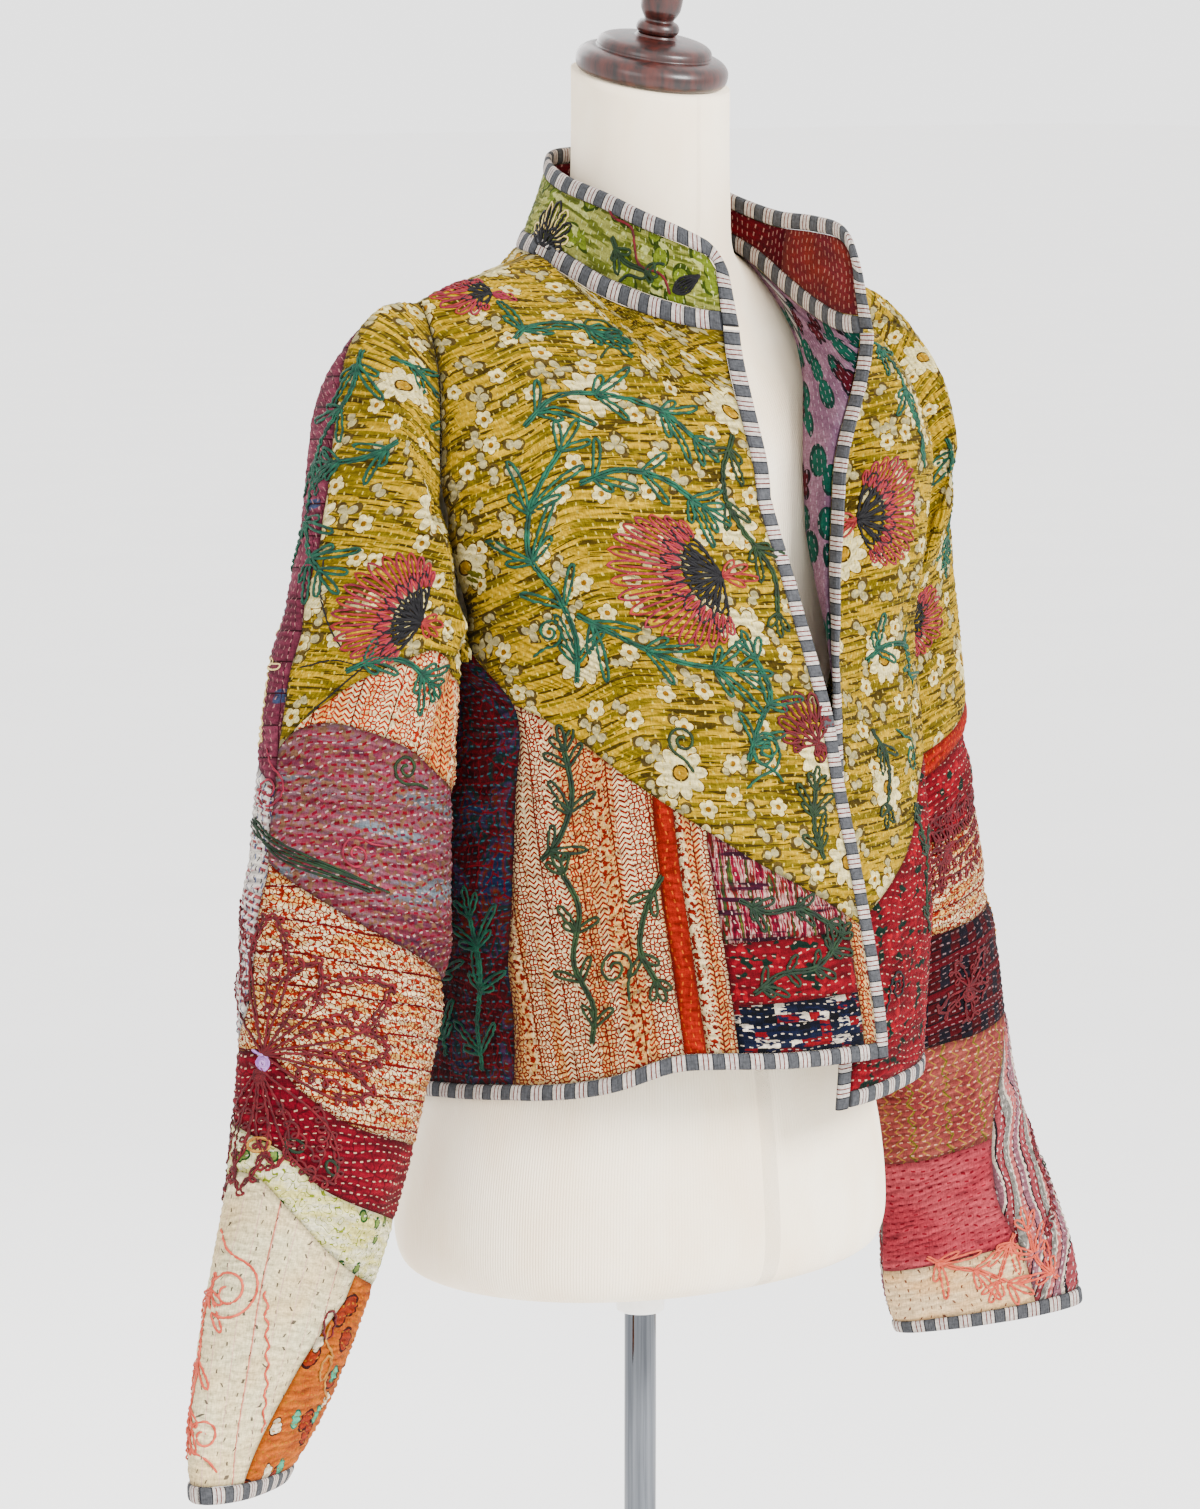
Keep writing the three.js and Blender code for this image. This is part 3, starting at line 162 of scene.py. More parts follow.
LEFT_OVERARM = table("drop u", [
    [-1338, 0.05], [-930, 0.07], [-860, 0.1], [-825, 0.16], [-795, 0.21], [-740, 0.225], [-690, 0.19],
    [-645, 0.17],
])
HEAD_LOW = table("s z", [
    [0, 1060], [0.07, 1072], [0.2, 1093], [0.32, 1113], [0.45, 1136], [0.56, 1156], [0.79, 1170], [1, 1176],
])
WEDGE_LOW = table("s z", [
    [0, 1060], [0.07, 1070.8], [0.2, 1082], [0.32, 1087], [0.45, 1091], [0.56, 1092], [0.79, 1086], [1, 1080],
])
MAUVE_LOW = table("s z", [[0, 1004], [0.29, 990], [0.475, 979], [0.72, 963], [1, 943]])
LOOPED_LOW = table("s z", [[0, 897], [0.25, 900], [0.37, 883], [0.53, 864], [0.79, 852], [1, 846]])
CRIMSON_LOW = table("s z", [[0, 860], [0.32, 846], [0.48, 825], [0.73, 811], [1, 804]])
PRINT_LOW = table("s z", [
    [0, 822], [0.24, 829], [0.41, 808], [0.53, 790], [0.67, 776], [0.85, 768], [1, 762],
])
OCHRE = table("drop s", [[-760, 0.67], [-742, 0.6], [-703, 0.525], [-672, 0.467], [-645, 0.4]])
FORM = table("ring half side front fore back aft middle", [
    [0, 133, 739, 100, 739, 96, 739, 0], [1, 152, 742, 117, 742, 111, 742, 0],
    [2, 162, 751, 128, 751, 121, 751, 0], [3, 165, 772, 132, 772, 126, 772, 0],
    [4, 161, 815, 129, 815, 124, 815, 0], [5, 148, 870, 121, 870, 117, 870, 0],
    [6, 131, 935, 107, 935, 103, 935, 0], [7, 117, 1000, 96, 1000, 88, 1000, 0],
    [8, 119, 1065, 97, 1065, 86, 1065, 0], [9, 130, 1130, 101, 1130, 90, 1130, 0],
    [10, 140, 1200, 102, 1195, 96, 1200, 0], [11, 150, 1262, 96, 1238, 94, 1252, 2],
    [12, 157, 1300, 86, 1266, 80, 1280, 5], [13, 155, 1322, 77, 1283, 66, 1298, 6],
    [14, 146, 1334, 69, 1295, 54, 1312, 6], [15, 126, 1345, 63, 1306, 46, 1325, 6],
    [16, 104, 1352, 57, 1316, 42, 1336, 5], [17, 82, 1358, 53, 1327, 42, 1346, 3],
    [18, 65, 1365, 50, 1343, 46, 1358, -1], [19, 53, 1377, 48, 1361, 48, 1377, -5],
    [20, 48.5, 1400, 47, 1388, 47.5, 1405, -8], [21, 47.5, 1434, 47, 1422, 47, 1446, -8],
    [22, 47.5, 1468, 47, 1457, 47, 1479, -8],
])


# ---- surfaces of the garment
def lerp(a, b, t):
    return a + (b - a) * t


def smooth(t):
    """An eased step from 0 to 1: 3 s^2 - 2 s^3."""
    s = np.clip(t, 0, 1)
    return s * s * (3 - 2 * s)


def points(x, y, z):
    return np.stack(np.broadcast_arrays(x, y, z), -1).astype(float)


def along_line(line, at):
    """Points of a line in space, given by a table of x, y and z."""
    return points(line(at, "x"), line(at, "y"), line(at, "z"))


def unit(vectors):
    return vectors / np.maximum(np.linalg.norm(vectors, axis=-1, keepdims=True), 1e-9)


def depth(z, x, face):
    """Depth of the body's plan section at x: a superellipse of the height's half width and depth."""
    across = np.minimum(np.abs(x) / BODY(z, "half"), 1)
    return BODY(z, face) * (1 - across**FULLNESS) ** (1 / FULLNESS)


def turn_over(low, top, v, full, level):
    """Above STRAIGHT a panel turns over to its top edge along an arc of TURN, or nearly straight where
    full is below 1, and levels out in a narrow ridge where level is true."""
    t = np.maximum((v - STRAIGHT) / (1 - STRAIGHT), 0)
    over = lerp(0.5 * (t + t * t), (1 - np.cos(TURN * t)) / (1 - math.cos(TURN)), full)
    up = lerp(t, np.sin(TURN * t) / math.sin(TURN), full)
    ridge = np.where(level, TURN / math.tan(TURN) * (1 - t) * t**RIDGE, 0)
    x = lerp(low[..., 0], top[..., 0], smooth(t))
    return points(x, lerp(low[..., 1], top[..., 1], over), lerp(low[..., 2], top[..., 2], up + ridge))


def shoulder(share):
    """The shoulder seam: the table's line in one upright plane, from the neck to the armhole."""
    return points(SHOULDER(share, "x"), SHOULDER_Y, SHOULDER(share, "z"))


def front_turned(low, side, neck, u, v):
    """A front turned over to its top: the shoulder as far as the neck point, then the open neck's edge."""
    level = u < NECK_POINT
    share = (u - NECK_POINT) / (1 - NECK_POINT)
    top = np.where(np.asarray(level)[..., None], shoulder(1 - u / NECK_POINT), along_line(neck, share))
    full = np.minimum((top[..., 1] - low[..., 1]) / ROUND_FROM, 1)
    return turn_over(low, top * [side, 1, 1], v, full, level)


def right_front(u, v):
    """u from the side piece or armhole to the front edge, v from the hem to the top."""
    z = lerp(RIGHT_HEM(u), CHEST, np.minimum(v / STRAIGHT, 1))
    x = lerp(-OUTER(z, "front"), RIGHT_EDGE(z), u)
    return front_turned(points(x, -depth(z, x, "front"), z), -1, RIGHT_NECK, u, v)


def left_front(u, v):
    """As the right front, but it lies inside it, and dips before its edge, which stands forward."""
    z = lerp(LEFT_HEM(u), CHEST, np.minimum(v / STRAIGHT, 1))
    dip = LEFT_LAY(z, "dip")
    x = lerp(OUTER(z, "front"), LEFT_EDGE(z), lerp(u, 1 - (1 - u) ** 3, CROWD * dip / DIP))
    stand = np.maximum((u - DIP_AT) / (1 - DIP_AT), 0)
    fold = LEFT_LAY(z, "inside") * smooth(u / TUCKED_BY) + dip * smooth(u / DIP_AT) * (1 - stand * stand)
    return front_turned(points(x, fold - depth(z, x, "front"), z), 1, LEFT_NECK, u, v)


def back(u, v):
    """u across the back from the wearer's right to left."""
    z = lerp(BACK_HEM(u), CHEST, np.minimum(v / STRAIGHT, 1))
    x = lerp(-OUTER(z, "back"), OUTER(z, "back"), u)
    away = np.abs(2 * u - 1)
    level = away > BACK_NECK_POINT
    neck = along_line(BACK_NECK, 1 - away / BACK_NECK_POINT)
    over = shoulder((away - BACK_NECK_POINT) / (1 - BACK_NECK_POINT))
    top = np.where(np.asarray(level)[..., None], over, neck) * points(np.sign(2 * u - 1), 1, 1)
    return turn_over(points(x, depth(z, x, "back"), z), top, v, 1, level)


def side_piece(side, hem):
    """The underarm piece wraps round the side of the same section: u from front to back, v hem to armpit."""

    def at(u, v):
        z = lerp(hem(u), ARMPIT, v)
        half = BODY(z, "half")
        start = np.arcsin((OUTER(z, "front") / half) ** (FULLNESS / 2)) + SIDE_GAP / half
        end = math.pi - np.arcsin((OUTER(z, "back") / half) ** (FULLNESS / 2)) - SIDE_GAP / half
        angle = lerp(start, end, u)
        reach = np.abs(np.cos(angle)) ** (2 / FULLNESS)
        y = np.where(np.cos(angle) > 0, -BODY(z, "front") * reach, BODY(z, "back") * reach)
        return points(side * half * np.sin(angle) ** (2 / FULLNESS), y, z)

    return at


right_side = side_piece(-1, RIGHT_SIDE_HEM)
left_side = side_piece(1, LEFT_SIDE_HEM)


def armhole(side, turn):
    """The armhole as the sleeve sees it: 0 at the shoulder, a quarter in front, a half at the armpit."""
    a = turn - np.floor(turn)
    front = a <= 0.5
    way = np.where(front, a, 1 - a)
    panel = right_front if side < 0 else left_front
    wrap = right_side if side < 0 else left_side
    hem = RIGHT_HEM if side < 0 else LEFT_HEM
    end = 0 if side < 0 else 1
    low = np.where(front, rise(ARMPIT, hem(0)), rise(ARMPIT, BACK_HEM(end)))
    v = lerp(1, low, np.minimum(way / CORNER, 1))
    zero = np.zeros_like(v)
    upper = np.where(front[..., None], panel(zero, v), back(zero + end, v))
    share = 0.5 * np.maximum(way - CORNER, 0) / (0.5 - CORNER)
    under = wrap(np.where(front, share, 1 - share), zero + 1)
    return np.where((way < CORNER)[..., None], upper, under)


def rise(z, hem):
    """A panel's share v at a height, for a panel whose hem is at hem."""
    return (z - hem) / (CHEST - hem) * STRAIGHT


def sleeve_section(side, turn, along):
    """An ellipse about the sleeve's middle line, in a plane tilted from level and turned about Z."""
    tilt, twist = np.radians(SLEEVE(along, "tilt")), np.radians(SLEEVE(along, "turn"))
    lean = SLEEVE_LEAN(along, "right" if side < 0 else "left")
    centre = points(side * SLEEVE(along, "out"), lean - SLEEVE_SET_FORWARD, SLEEVE(along, "z"))
    wide = unit(points(side * np.cos(twist) * np.cos(tilt), -np.sin(twist), np.sin(tilt)))
    thick = points(-side * np.sin(twist), -np.cos(twist), 0)
    angle = 2 * math.pi * turn
    across = (SLEEVE(along, "wide") * np.cos(angle))[..., None] * wide
    return centre + across + (SLEEVE(along, "thick") * np.sin(angle))[..., None] * thick


def sleeve(side):
    """u once round from the top of the shoulder over the front, v from the armhole to the cuff. It
    starts as the armhole's outline and blends into the sections."""

    def at(u, v):
        u, v = np.broadcast_arrays(np.asarray(u, float), np.asarray(v, float))
        along = v * SLEEVE_LENGTH
        join = armhole(side, u) - sleeve_section(side, u, 0 * along) + [side * ARMHOLE_GAP, 0, 0]
        return sleeve_section(side, u, along) + join * (1 - smooth(along / SLEEVE_JOIN))[..., None]

    return at


def down(z):
    """The share v along a sleeve whose middle line is at a given height."""
    return SLEEVE_AT(-z) / SLEEVE_LENGTH


def neckline(u):
    """Round the neck from the right front's end over the back to the left front's end."""
    one = np.ones_like(u)
    right = right_front(lerp(1, NECK_POINT, np.minimum(u / NECK_TURN, 1)), one)
    left = left_front(lerp(NECK_POINT, 1, np.maximum((u - 1) / NECK_TURN + 1, 0)), one)
    across = np.clip((u - NECK_TURN) / (1 - 2 * NECK_TURN), 0, 1)
    rear = back(0.5 + (across - 0.5) * BACK_NECK_POINT, one)
    rest = np.where((u > 1 - NECK_TURN)[..., None], left, rear)
    return np.where((u < NECK_TURN)[..., None], right, rest)


def collar(u, v):
    """Straight lines from the neckline to the collar's own top edge."""
    foot = neckline(u) + [0, 0, COLLAR_LIFT]
    return lerp(foot, along_line(COLLAR_TOP, u), np.asarray(v)[..., None])


MEASURED_ACROSS, MEASURED_UP = 160, 200  # how many stretches a panel is measured in
NUDGE, PULL, PULLS = 2e-3, 0.8, 3  # the step, the share of an error and the times with which places are found


class Panel:
    """A surface of the garment. at(u, v) gives its points; out is the side of u x v that faces outwards."""

    def __init__(self, at, out, start=0.0, end=1.0, middle=0.0, level=0):
        self.at, self.out, self.start, self.end = at, out, start, end
        u, v = np.meshgrid(np.linspace(start, end, MEASURED_ACROSS + 1), np.linspace(0, 1, MEASURED_UP + 1))
        grid = at(u, v)
        across = np.linalg.norm(np.diff(grid, axis=1), axis=-1)
        up = np.linalg.norm(np.diff(grid, axis=0), axis=-1)
        x = np.pad(np.cumsum(across, 1), ((0, 0), (1, 0)))
        x -= x[:, [int(round((middle - start) / (end - start) * MEASURED_ACROSS))]]
        y = np.pad(np.cumsum(up, 0), ((1, 0), (0, 0)))
        self.measured = np.stack([x, y - y[level]], -1)

    def flat(self, u, v):
        """Millimetres across and up the cloth, measured along it from the middle column and hem or cuff."""
        rows, columns = self.measured.shape[:2]
        c = np.clip((u - self.start) / (self.end - self.start), 0, 1) * (columns - 1)
        r = np.clip(v, 0, 1) * (rows - 1)
        i, j = np.minimum(r.astype(int), rows - 2), np.minimum(c.astype(int), columns - 2)
        s, t = (r - i)[..., None], (c - j)[..., None]
        m = self.measured
        return lerp(lerp(m[i, j], m[i, j + 1], t), lerp(m[i + 1, j], m[i + 1, j + 1], t), s)

    def tangents(self, u, v):
        """The slopes along u and v, each between two places one step either side."""
        along = (self.at(u + STEP, v) - self.at(u - STEP, v)) / (2 * STEP)
        upward = (self.at(u, v + STEP) - self.at(u, v - STEP)) / (2 * STEP)
        return along, upward

    def normal(self, u, v):
        return self.out * unit(np.cross(*self.tangents(u, v)))

    def shares(self, u, v):
        """How much u and v grow in one millimetre."""
        along, upward = self.tangents(u, v)
        return 1 / np.linalg.norm(along, axis=-1), 1 / np.linalg.norm(upward, axis=-1)

    def find(self, offsets, u, v):
        """The u and v that lie offsets, in flat millimetres, from one place: a step by the local scale,
        then a few corrections by most of what is left."""
        e = NUDGE
        here = self.flat(np.array(u), np.array(v))
        jacobian = np.stack([
            (self.flat(np.array(u + e), np.array(v)) - self.flat(np.array(u - e), np.array(v))) / (2 * e),
            (self.flat(np.array(u), np.array(v + e)) - self.flat(np.array(u), np.array(v - e))) / (2 * e),
        ], -1)
        inverse = np.linalg.inv(jacobian)
        spot = np.array([u, v]) + offsets @ inverse.T
        for _ in range(PULLS):
            spot = spot + PULL * (here + offsets - self.flat(spot[:, 0], spot[:, 1])) @ inverse.T
        return spot[:, 0], spot[:, 1]


RIGHT_FRONT = Panel(right_front, 1, middle=0.5)
LEFT_FRONT = Panel(left_front, -1, middle=0.2)
BACK = Panel(back, -1, middle=0.5)
RIGHT_SIDE = Panel(right_side, -1)
LEFT_SIDE = Panel(left_side, 1)
RIGHT_SLEEVE = Panel(sleeve(-1), -1, -0.25, 1.25, middle=0.25, level=-1)
LEFT_SLEEVE = Panel(sleeve(1), 1, -0.25, 1.25, middle=0.25, level=-1)

# The collar is worked in millimetres along the neckline and up the stand.
COLLAR_CORNER = 17.0  # radius of the collar's front corners
BENT = COLLAR_CORNER - BINDING  # the same radius at the cloth inside the binding
measure = np.linspace(0, 1, 241)
runs = np.pad(np.cumsum(np.linalg.norm(np.diff(neckline(measure), axis=0), axis=1)), (1, 0))
COLLAR_LENGTH = runs[-1]


def stand_height(length):
    """How long the collar's straight line is at that length along the neckline."""
    u = np.interp(length, runs, measure)
    return np.linalg.norm(collar(u, 0 * u) - collar(u, 0 * u + 1), axis=-1)


def flat_collar(length, height):
    """The collar's surface, read in millimetres along the neckline and up its straight lines."""
    return collar(np.interp(length, runs, measure), height / stand_height(length))


COLLAR = Panel(flat_collar, -1, 0, COLLAR_LENGTH)
COLLAR.flat = lambda length, height: np.stack(np.broadcast_arrays(length, height), -1)


def cloth_top(length):
    """Height of the collar's cloth under its binding, which falls round the corner near each end."""
    reach = np.maximum(COLLAR_CORNER - np.minimum(length, COLLAR_LENGTH - length), 0)
    return stand_height(length) - COLLAR_CORNER + np.sqrt(np.maximum(BENT * BENT - reach * reach, 0))


# ---- how the cloth lies
def noise(x, y, seed):
    """Value noise from -1 to 1: seeded numbers at whole places, blended by smooth steps between them."""
    numbers = np.random.default_rng(seed).random((256, 256)) * 2 - 1
    i, j = np.floor(x).astype(int), np.floor(y).astype(int)
    s, t = smooth(x - i), smooth(y - j)
    i, j, k, m = i & 255, j & 255, (i + 1) & 255, (j + 1) & 255
    return lerp(lerp(numbers[i, j], numbers[k, j], s), lerp(numbers[i, m], numbers[k, m], s), t)


def crease(panel, u, v, turn, length, width, deep, bend):
    """A crease's middle, the way it runs, the way across it and the surface's normal, with its sizes."""
    u, v = np.array(float(u)), np.array(float(v))
    normal = panel.normal(u, v)
    level, upward = panel.tangents(u, v)
    level = unit(level)
    upward = unit(upward - level * np.dot(upward, level))
    a = math.radians(turn)
    along, across = math.cos(a) * level + math.sin(a) * upward, math.cos(a) * upward - math.sin(a) * level
    return panel.at(u, v), along, across, normal, length, width, deep, bend


# Creases: where on which surface, turned how many degrees from level, their length, width and
# depth in millimetres, and how far they bend aside.
CREASES = [crease(panel, *row) for panel, rows in [
    (RIGHT_FRONT, [
        (0.06, 0.62, 62, 150, 13, 3.2, 10), (0.16, 0.55, 74, 170, 17, 2.2, -12),
        (0.30, 0.74, 58, 120, 18, 1.7, 9), (0.12, 0.30, 82, 190, 20, 2.4, 8),
        (0.42, 0.40, 68, 150, 24, 1.6, 12), (0.66, 0.30, 84, 130, 22, 1.3, -8),
        (0.80, 0.62, 96, 150, 20, 1.5, 10), (0.55, 0.88, 30, 100, 16, 1.5, 8),
    ]),
    (LEFT_FRONT, [
        (0.08, 0.60, 112, 140, 14, 3.0, 9), (0.20, 0.45, 98, 170, 18, 2.2, -10),
        (0.12, 0.22, 86, 150, 20, 2.2, 8), (0.34, 0.78, 120, 110, 16, 1.6, 8),
    ]),
    (RIGHT_SLEEVE, [
        (0.20, 0.10, 96, 120, 14, 2.6, 10), (0.36, 0.15, 70, 110, 13, 3.4, -12),
        (0.12, 0.24, 24, 90, 17, 2.4, 9), (0.30, 0.33, 160, 120, 15, 3.0, 12),
        (0.18, 0.43, 12, 110, 16, 2.8, -10), (0.40, 0.47, 30, 90, 14, 3.2, 9),
        (0.24, 0.57, 170, 110, 18, 2.4, 10), (0.10, 0.66, 60, 120, 18, 1.8, -9),
        (0.35, 0.76, 100, 130, 17, 1.8, 9), (0.66, 0.34, 20, 100, 15, 2.8, 10),
        (0.80, 0.50, 165, 110, 16, 2.6, -9), (0.72, 0.14, 80, 130, 14, 2.6, 9),
    ]),
    (LEFT_SLEEVE, [
        (0.18, 0.12, 90, 120, 14, 2.8, 9), (0.34, 0.18, 115, 110, 13, 3.2, -10),
        (0.22, 0.36, 168, 100, 16, 2.8, 10), (0.38, 0.42, 20, 100, 14, 3.0, 9),
        (0.14, 0.52, 8, 110, 17, 2.4, -9), (0.30, 0.66, 80, 150, 18, 2.0, 10),
        (0.68, 0.30, 15, 110, 15, 2.8, 10), (0.82, 0.48, 160, 100, 16, 2.6, 9),
        (0.74, 0.16, 95, 130, 14, 2.4, -9),
    ]),
    (BACK, [
        (0.12, 0.60, 62, 150, 15, 2.6, 10), (0.86, 0.57, 116, 160, 16, 2.6, -10),
        (0.34, 0.40, 80, 180, 22, 1.9, 9), (0.62, 0.34, 98, 190, 24, 1.9, -9),
        (0.50, 0.72, 88, 130, 20, 1.4, 8),
    ]),
    (RIGHT_SIDE, [
        (0.45, 0.66, 84, 130, 14, 2.6, 9), (0.62, 0.30, 92, 150, 17, 2.2, -9),
    ]),
    (LEFT_SIDE, [
        (0.45, 0.62, 94, 130, 14, 2.6, 9), (0.58, 0.28, 88, 150, 17, 2.2, -9),
    ]),
] for row in rows]
REACH = 45.0  # how far from a crease's own side of the body it dies out
# Soft waves of the whole cloth: height, shares of x and y in their run, size across and up, and seed.
WAVES = [(0.8, 0.8, 0.6, 41, 57, 3), (0.4, 0.7, -0.7, 18, 24, 4)]


def waves(place):
    """How far the cloth stands out from its even surface, in millimetres: two soft waves of different
    size and the creases. A crease is a valley with raised shoulders, (1 - 1.6 q) e^-q across it with q
    the squared share of its width, dying out towards its ends and away from its own side of the body."""
    x, y, z = np.moveaxis(place, -1, 0)
    out = sum(high * noise((a * x + b * y) / wide, z / tall, seed) for high, a, b, wide, tall, seed in WAVES)
    for middle, along, across, normal, length, width, deep, bend in CREASES:
        reach = place - middle
        run = reach @ along / (0.5 * length)
        q = ((reach @ across - bend * run**2) / width) ** 2
        ends = np.exp(-np.minimum(run**4 + (reach @ normal / REACH) ** 4, 40))
        out = out - deep * (1 - 1.6 * q) * np.exp(-np.minimum(q, 40)) * ends
    return out


# Ribs that the rows of hand stitches draw up: height and spacing in millimetres, for each kind of cloth.
RIBS = {"kantha": (0.82, 5.0), "soft": (0.45, 5.4)}
# How strongly the ribs' place, height and puckers wander, and over how many millimetres across and up.
SWAY, JITTER, SWELL, PUCKER = (0.55, 16, 11, 5), (0.3, 6, 5, 6), (0.38, 8, 6, 7), (0.3, 3.1, 2.3, 8)


def wander(x, y, strength, wide, tall, seed):
    """Noise of that strength, stretched to wide by tall millimetres."""
    return strength * noise(x / wide, y / tall, seed)


def ribs(x, y, kind):
    """Short ridges across the stitched rows: a cosine up the cloth whose phase and height wander."""
    height, pitch = RIBS[kind]
    phase = y / pitch + wander(x, y, *SWAY) + wander(x, y, *JITTER)
    strength = 1 - SWELL[0] + wander(x, y, *SWELL)
    return height * (strength * np.cos(2 * math.pi * phase) + wander(x, y, *PUCKER))


# ---- meshes
def put_mesh(name, place, faces, uv, materials, which=None, dips=None):
    """A mesh object in metres from points in millimetres and a list of face arrays, one row a face."""
    mesh = bpy.data.meshes.new(name)
    corners = np.concatenate([f.ravel() for f in faces])
    sizes = np.concatenate([np.full(len(f), f.shape[1]) for f in faces])
    mesh.vertices.add(len(place))
    mesh.vertices.foreach_set("co", (place / 1000).astype(np.float32).ravel())
    mesh.loops.add(len(corners))
    mesh.loops.foreach_set("vertex_index", corners.astype(np.int32))
    mesh.polygons.add(len(sizes))
    mesh.polygons.foreach_set("loop_start", (np.cumsum(sizes) - sizes).astype(np.int32))
    mesh.polygons.foreach_set("use_smooth", np.ones(len(sizes), bool))
    for material in materials:
        mesh.materials.append(material)
    if which is not None:
        mesh.polygons.foreach_set("material_index", which.astype(np.int32))
    mesh.uv_layers.new(name="cloth").data.foreach_set("uv", (uv[corners] / 1000).astype(np.float32).ravel())
    # The cloth's height off its even surface, which its material turns into painted shade in the hollows and
    # painted light on the rib tops.
    if dips is not None:
        mesh.attributes.new("dip", "FLOAT", "POINT").data.foreach_set("value", dips.astype(np.float32))
    mesh.update(calc_edges=True)
    piece = bpy.data.objects.new(name, mesh)
    bpy.context.scene.collection.objects.link(piece)
    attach(piece, "root")
    return piece


def rim(outer, inner):
    """Triangles between a fine edge and a coarse one beside it: each coarse point takes the fine stretches
    nearest to it, and each coarse stretch the fine point where they change over."""
    i, j = np.arange(len(outer) - 1), np.arange(len(inner) - 1)
    fine = np.stack([outer[i + 1], outer[i], inner[(i + 2) // COARSE]], 1)
    return np.concatenate([fine, np.stack([inner[j], inner[j + 1], outer[COARSE * j + 1]], 1)])


def shell(name, outer, inner, uv, out, materials, dips):
    """A closed thin wall: a fine outer grid, a coarse inner one under it, and the rim that joins them."""
    rows, columns = outer.shape[:2]
    top = np.arange(rows * columns).reshape(rows, columns)
    under = rows * columns + np.arange(inner.shape[0] * inner.shape[1]).reshape(inner.shape[:2])

    def quads(ids):
        return np.stack([ids[:-1, :-1], ids[:-1, 1:], ids[1:, 1:], ids[1:, :-1]], -1).reshape(-1, 4)

    edges = [(ids[0], ids[:, -1], ids[-1, ::-1], ids[::-1, 0]) for ids in (top, under)]
    edge = np.concatenate([rim(fine, coarse) for fine, coarse in zip(*edges)])
    faces = [quads(top), quads(under)[:, ::-1], edge]
    if out < 0:
        faces = [f[:, ::-1] for f in faces]
    which = np.concatenate([np.full(len(f), k) for f, k in zip(faces, (0, 1, 0))])
    place = np.concatenate([outer.reshape(-1, 3), inner.reshape(-1, 3)])
    flat = np.concatenate([uv.reshape(-1, 2), uv[::COARSE, ::COARSE].reshape(-1, 2)])
    dips = np.concatenate([dips.ravel(), dips[::COARSE, ::COARSE].ravel()])
    return put_mesh(name, place, faces, flat, materials, which, dips)


def across_whole(s, v):
    return s + 0 * v


SKETCH = 9  # how many lines each way a cut is first measured by
TURN_IN, TUCK = 4.5, 0.75  # how far from a seam the cloth turns in, and how deep
CUTS = {}  # each cloth piece with its flat size, its area, what it lies on, and its bindings


def cloth_piece(part, panel, low, high, fabric, across=across_whole, rests=("form_torso",), spans=(0, 1),
                kind="kantha", lift=0.0, thick=CLOTH, lining="backing"):
    """One cut of cloth: a grid between two lines of the surface and its two sides, drawn up in ribs, puffed
    a little between its seams, with the inner face of its own lining. It stands for the CAD node."""
    s, t = np.meshgrid(np.linspace(*spans, SKETCH), np.linspace(0, 1, SKETCH))
    v = lerp(low(s), high(s), t)
    sketch = panel.at(across(s, v), v)
    width = np.linalg.norm(np.diff(sketch, axis=1), axis=-1).sum(1)
    height = np.linalg.norm(np.diff(sketch, axis=0), axis=-1).sum(0)
    columns = COARSE * math.ceil(width.max() / FINE_ACROSS / COARSE)
    rows = COARSE * math.ceil(height.max() / FINE_UP / COARSE)
    side, end = 0.5 * SEAM / width.mean(), 0.5 * SEAM / height.mean()
    a, t = np.meshgrid(np.linspace(side, 1 - side, columns + 1), np.linspace(end, 1 - end, rows + 1))
    s = lerp(*spans, a)
    v = lerp(low(s), high(s), t)
    u = across(s, v)
    place, normal, flat = panel.at(u, v), panel.normal(u, v), panel.flat(u, v)
    near = np.minimum(np.minimum(a, 1 - a) * width.mean(), np.minimum(t, 1 - t) * height.mean())
    inside = smooth(near / TURN_IN)
    bulk = waves(place) + lift
    # Ribs and seam tucks; the same heights also give the painted shade and painted light in the cloth's
    # material.
    dips = inside * ribs(flat[..., 0], flat[..., 1], kind) - TUCK * (1 - inside) * min(1, thick / CLOTH)
    outer = place + (bulk + dips)[..., None] * normal
    under = (slice(None, None, COARSE),) * 2
    inner = place[under] + (bulk - thick)[under][..., None] * normal[under]
    piece = shell(part + "_cloth", outer, inner, flat, panel.out, [MATERIAL[fabric], MATERIAL[lining]], dips)
    cell = np.linalg.norm(np.cross(np.diff(place, axis=0)[:, :-1], np.diff(place, axis=1)[:-1]), axis=-1)
    area, size = cell.sum(), np.array([width.mean(), height.max()])
    size = size * max(1.0, math.sqrt(area / size.prod()))
    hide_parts(part)
    CUTS[piece.name] = (piece, tuple(size / 1000), min(area, size.prod()) / 1e6, list(rests), [])


def tube(centre, sideways, upward, ring, closed):
    """Rings of points along a path, and the quads between them. ring gives how far along sideways and
    upward each point of a ring lies, either one ring for all or one for each place on the path."""
    ring = np.broadcast_to(ring, (len(centre), *np.shape(ring)[-2:]))
    place = centre[:, None] + ring[..., 0:1] * sideways[:, None] + ring[..., 1:2] * upward[:, None]
    count, sides = ring.shape[:2]
    ids = np.arange(count * sides).reshape(count, sides)
    after = np.roll(ids, -1, axis=0) if closed else ids[1:]
    here = ids if closed else ids[:-1]
    quads = np.stack([here, np.roll(here, -1, axis=1), np.roll(after, -1, axis=1), after], -1).reshape(-1, 4)
    return place.reshape(-1, 3), quads, ids


TAPE_ROUND = 16  # how many sides a binding's section has
BLUNT_EDGE, BLUNT_FACE = 0.6, 0.75  # powers that square off that section across and through the tape
TAPE_PUCKERS = (0.05, 4.5, 11), (0.04, 13, 12)  # each one's share of the thickness, length and seed


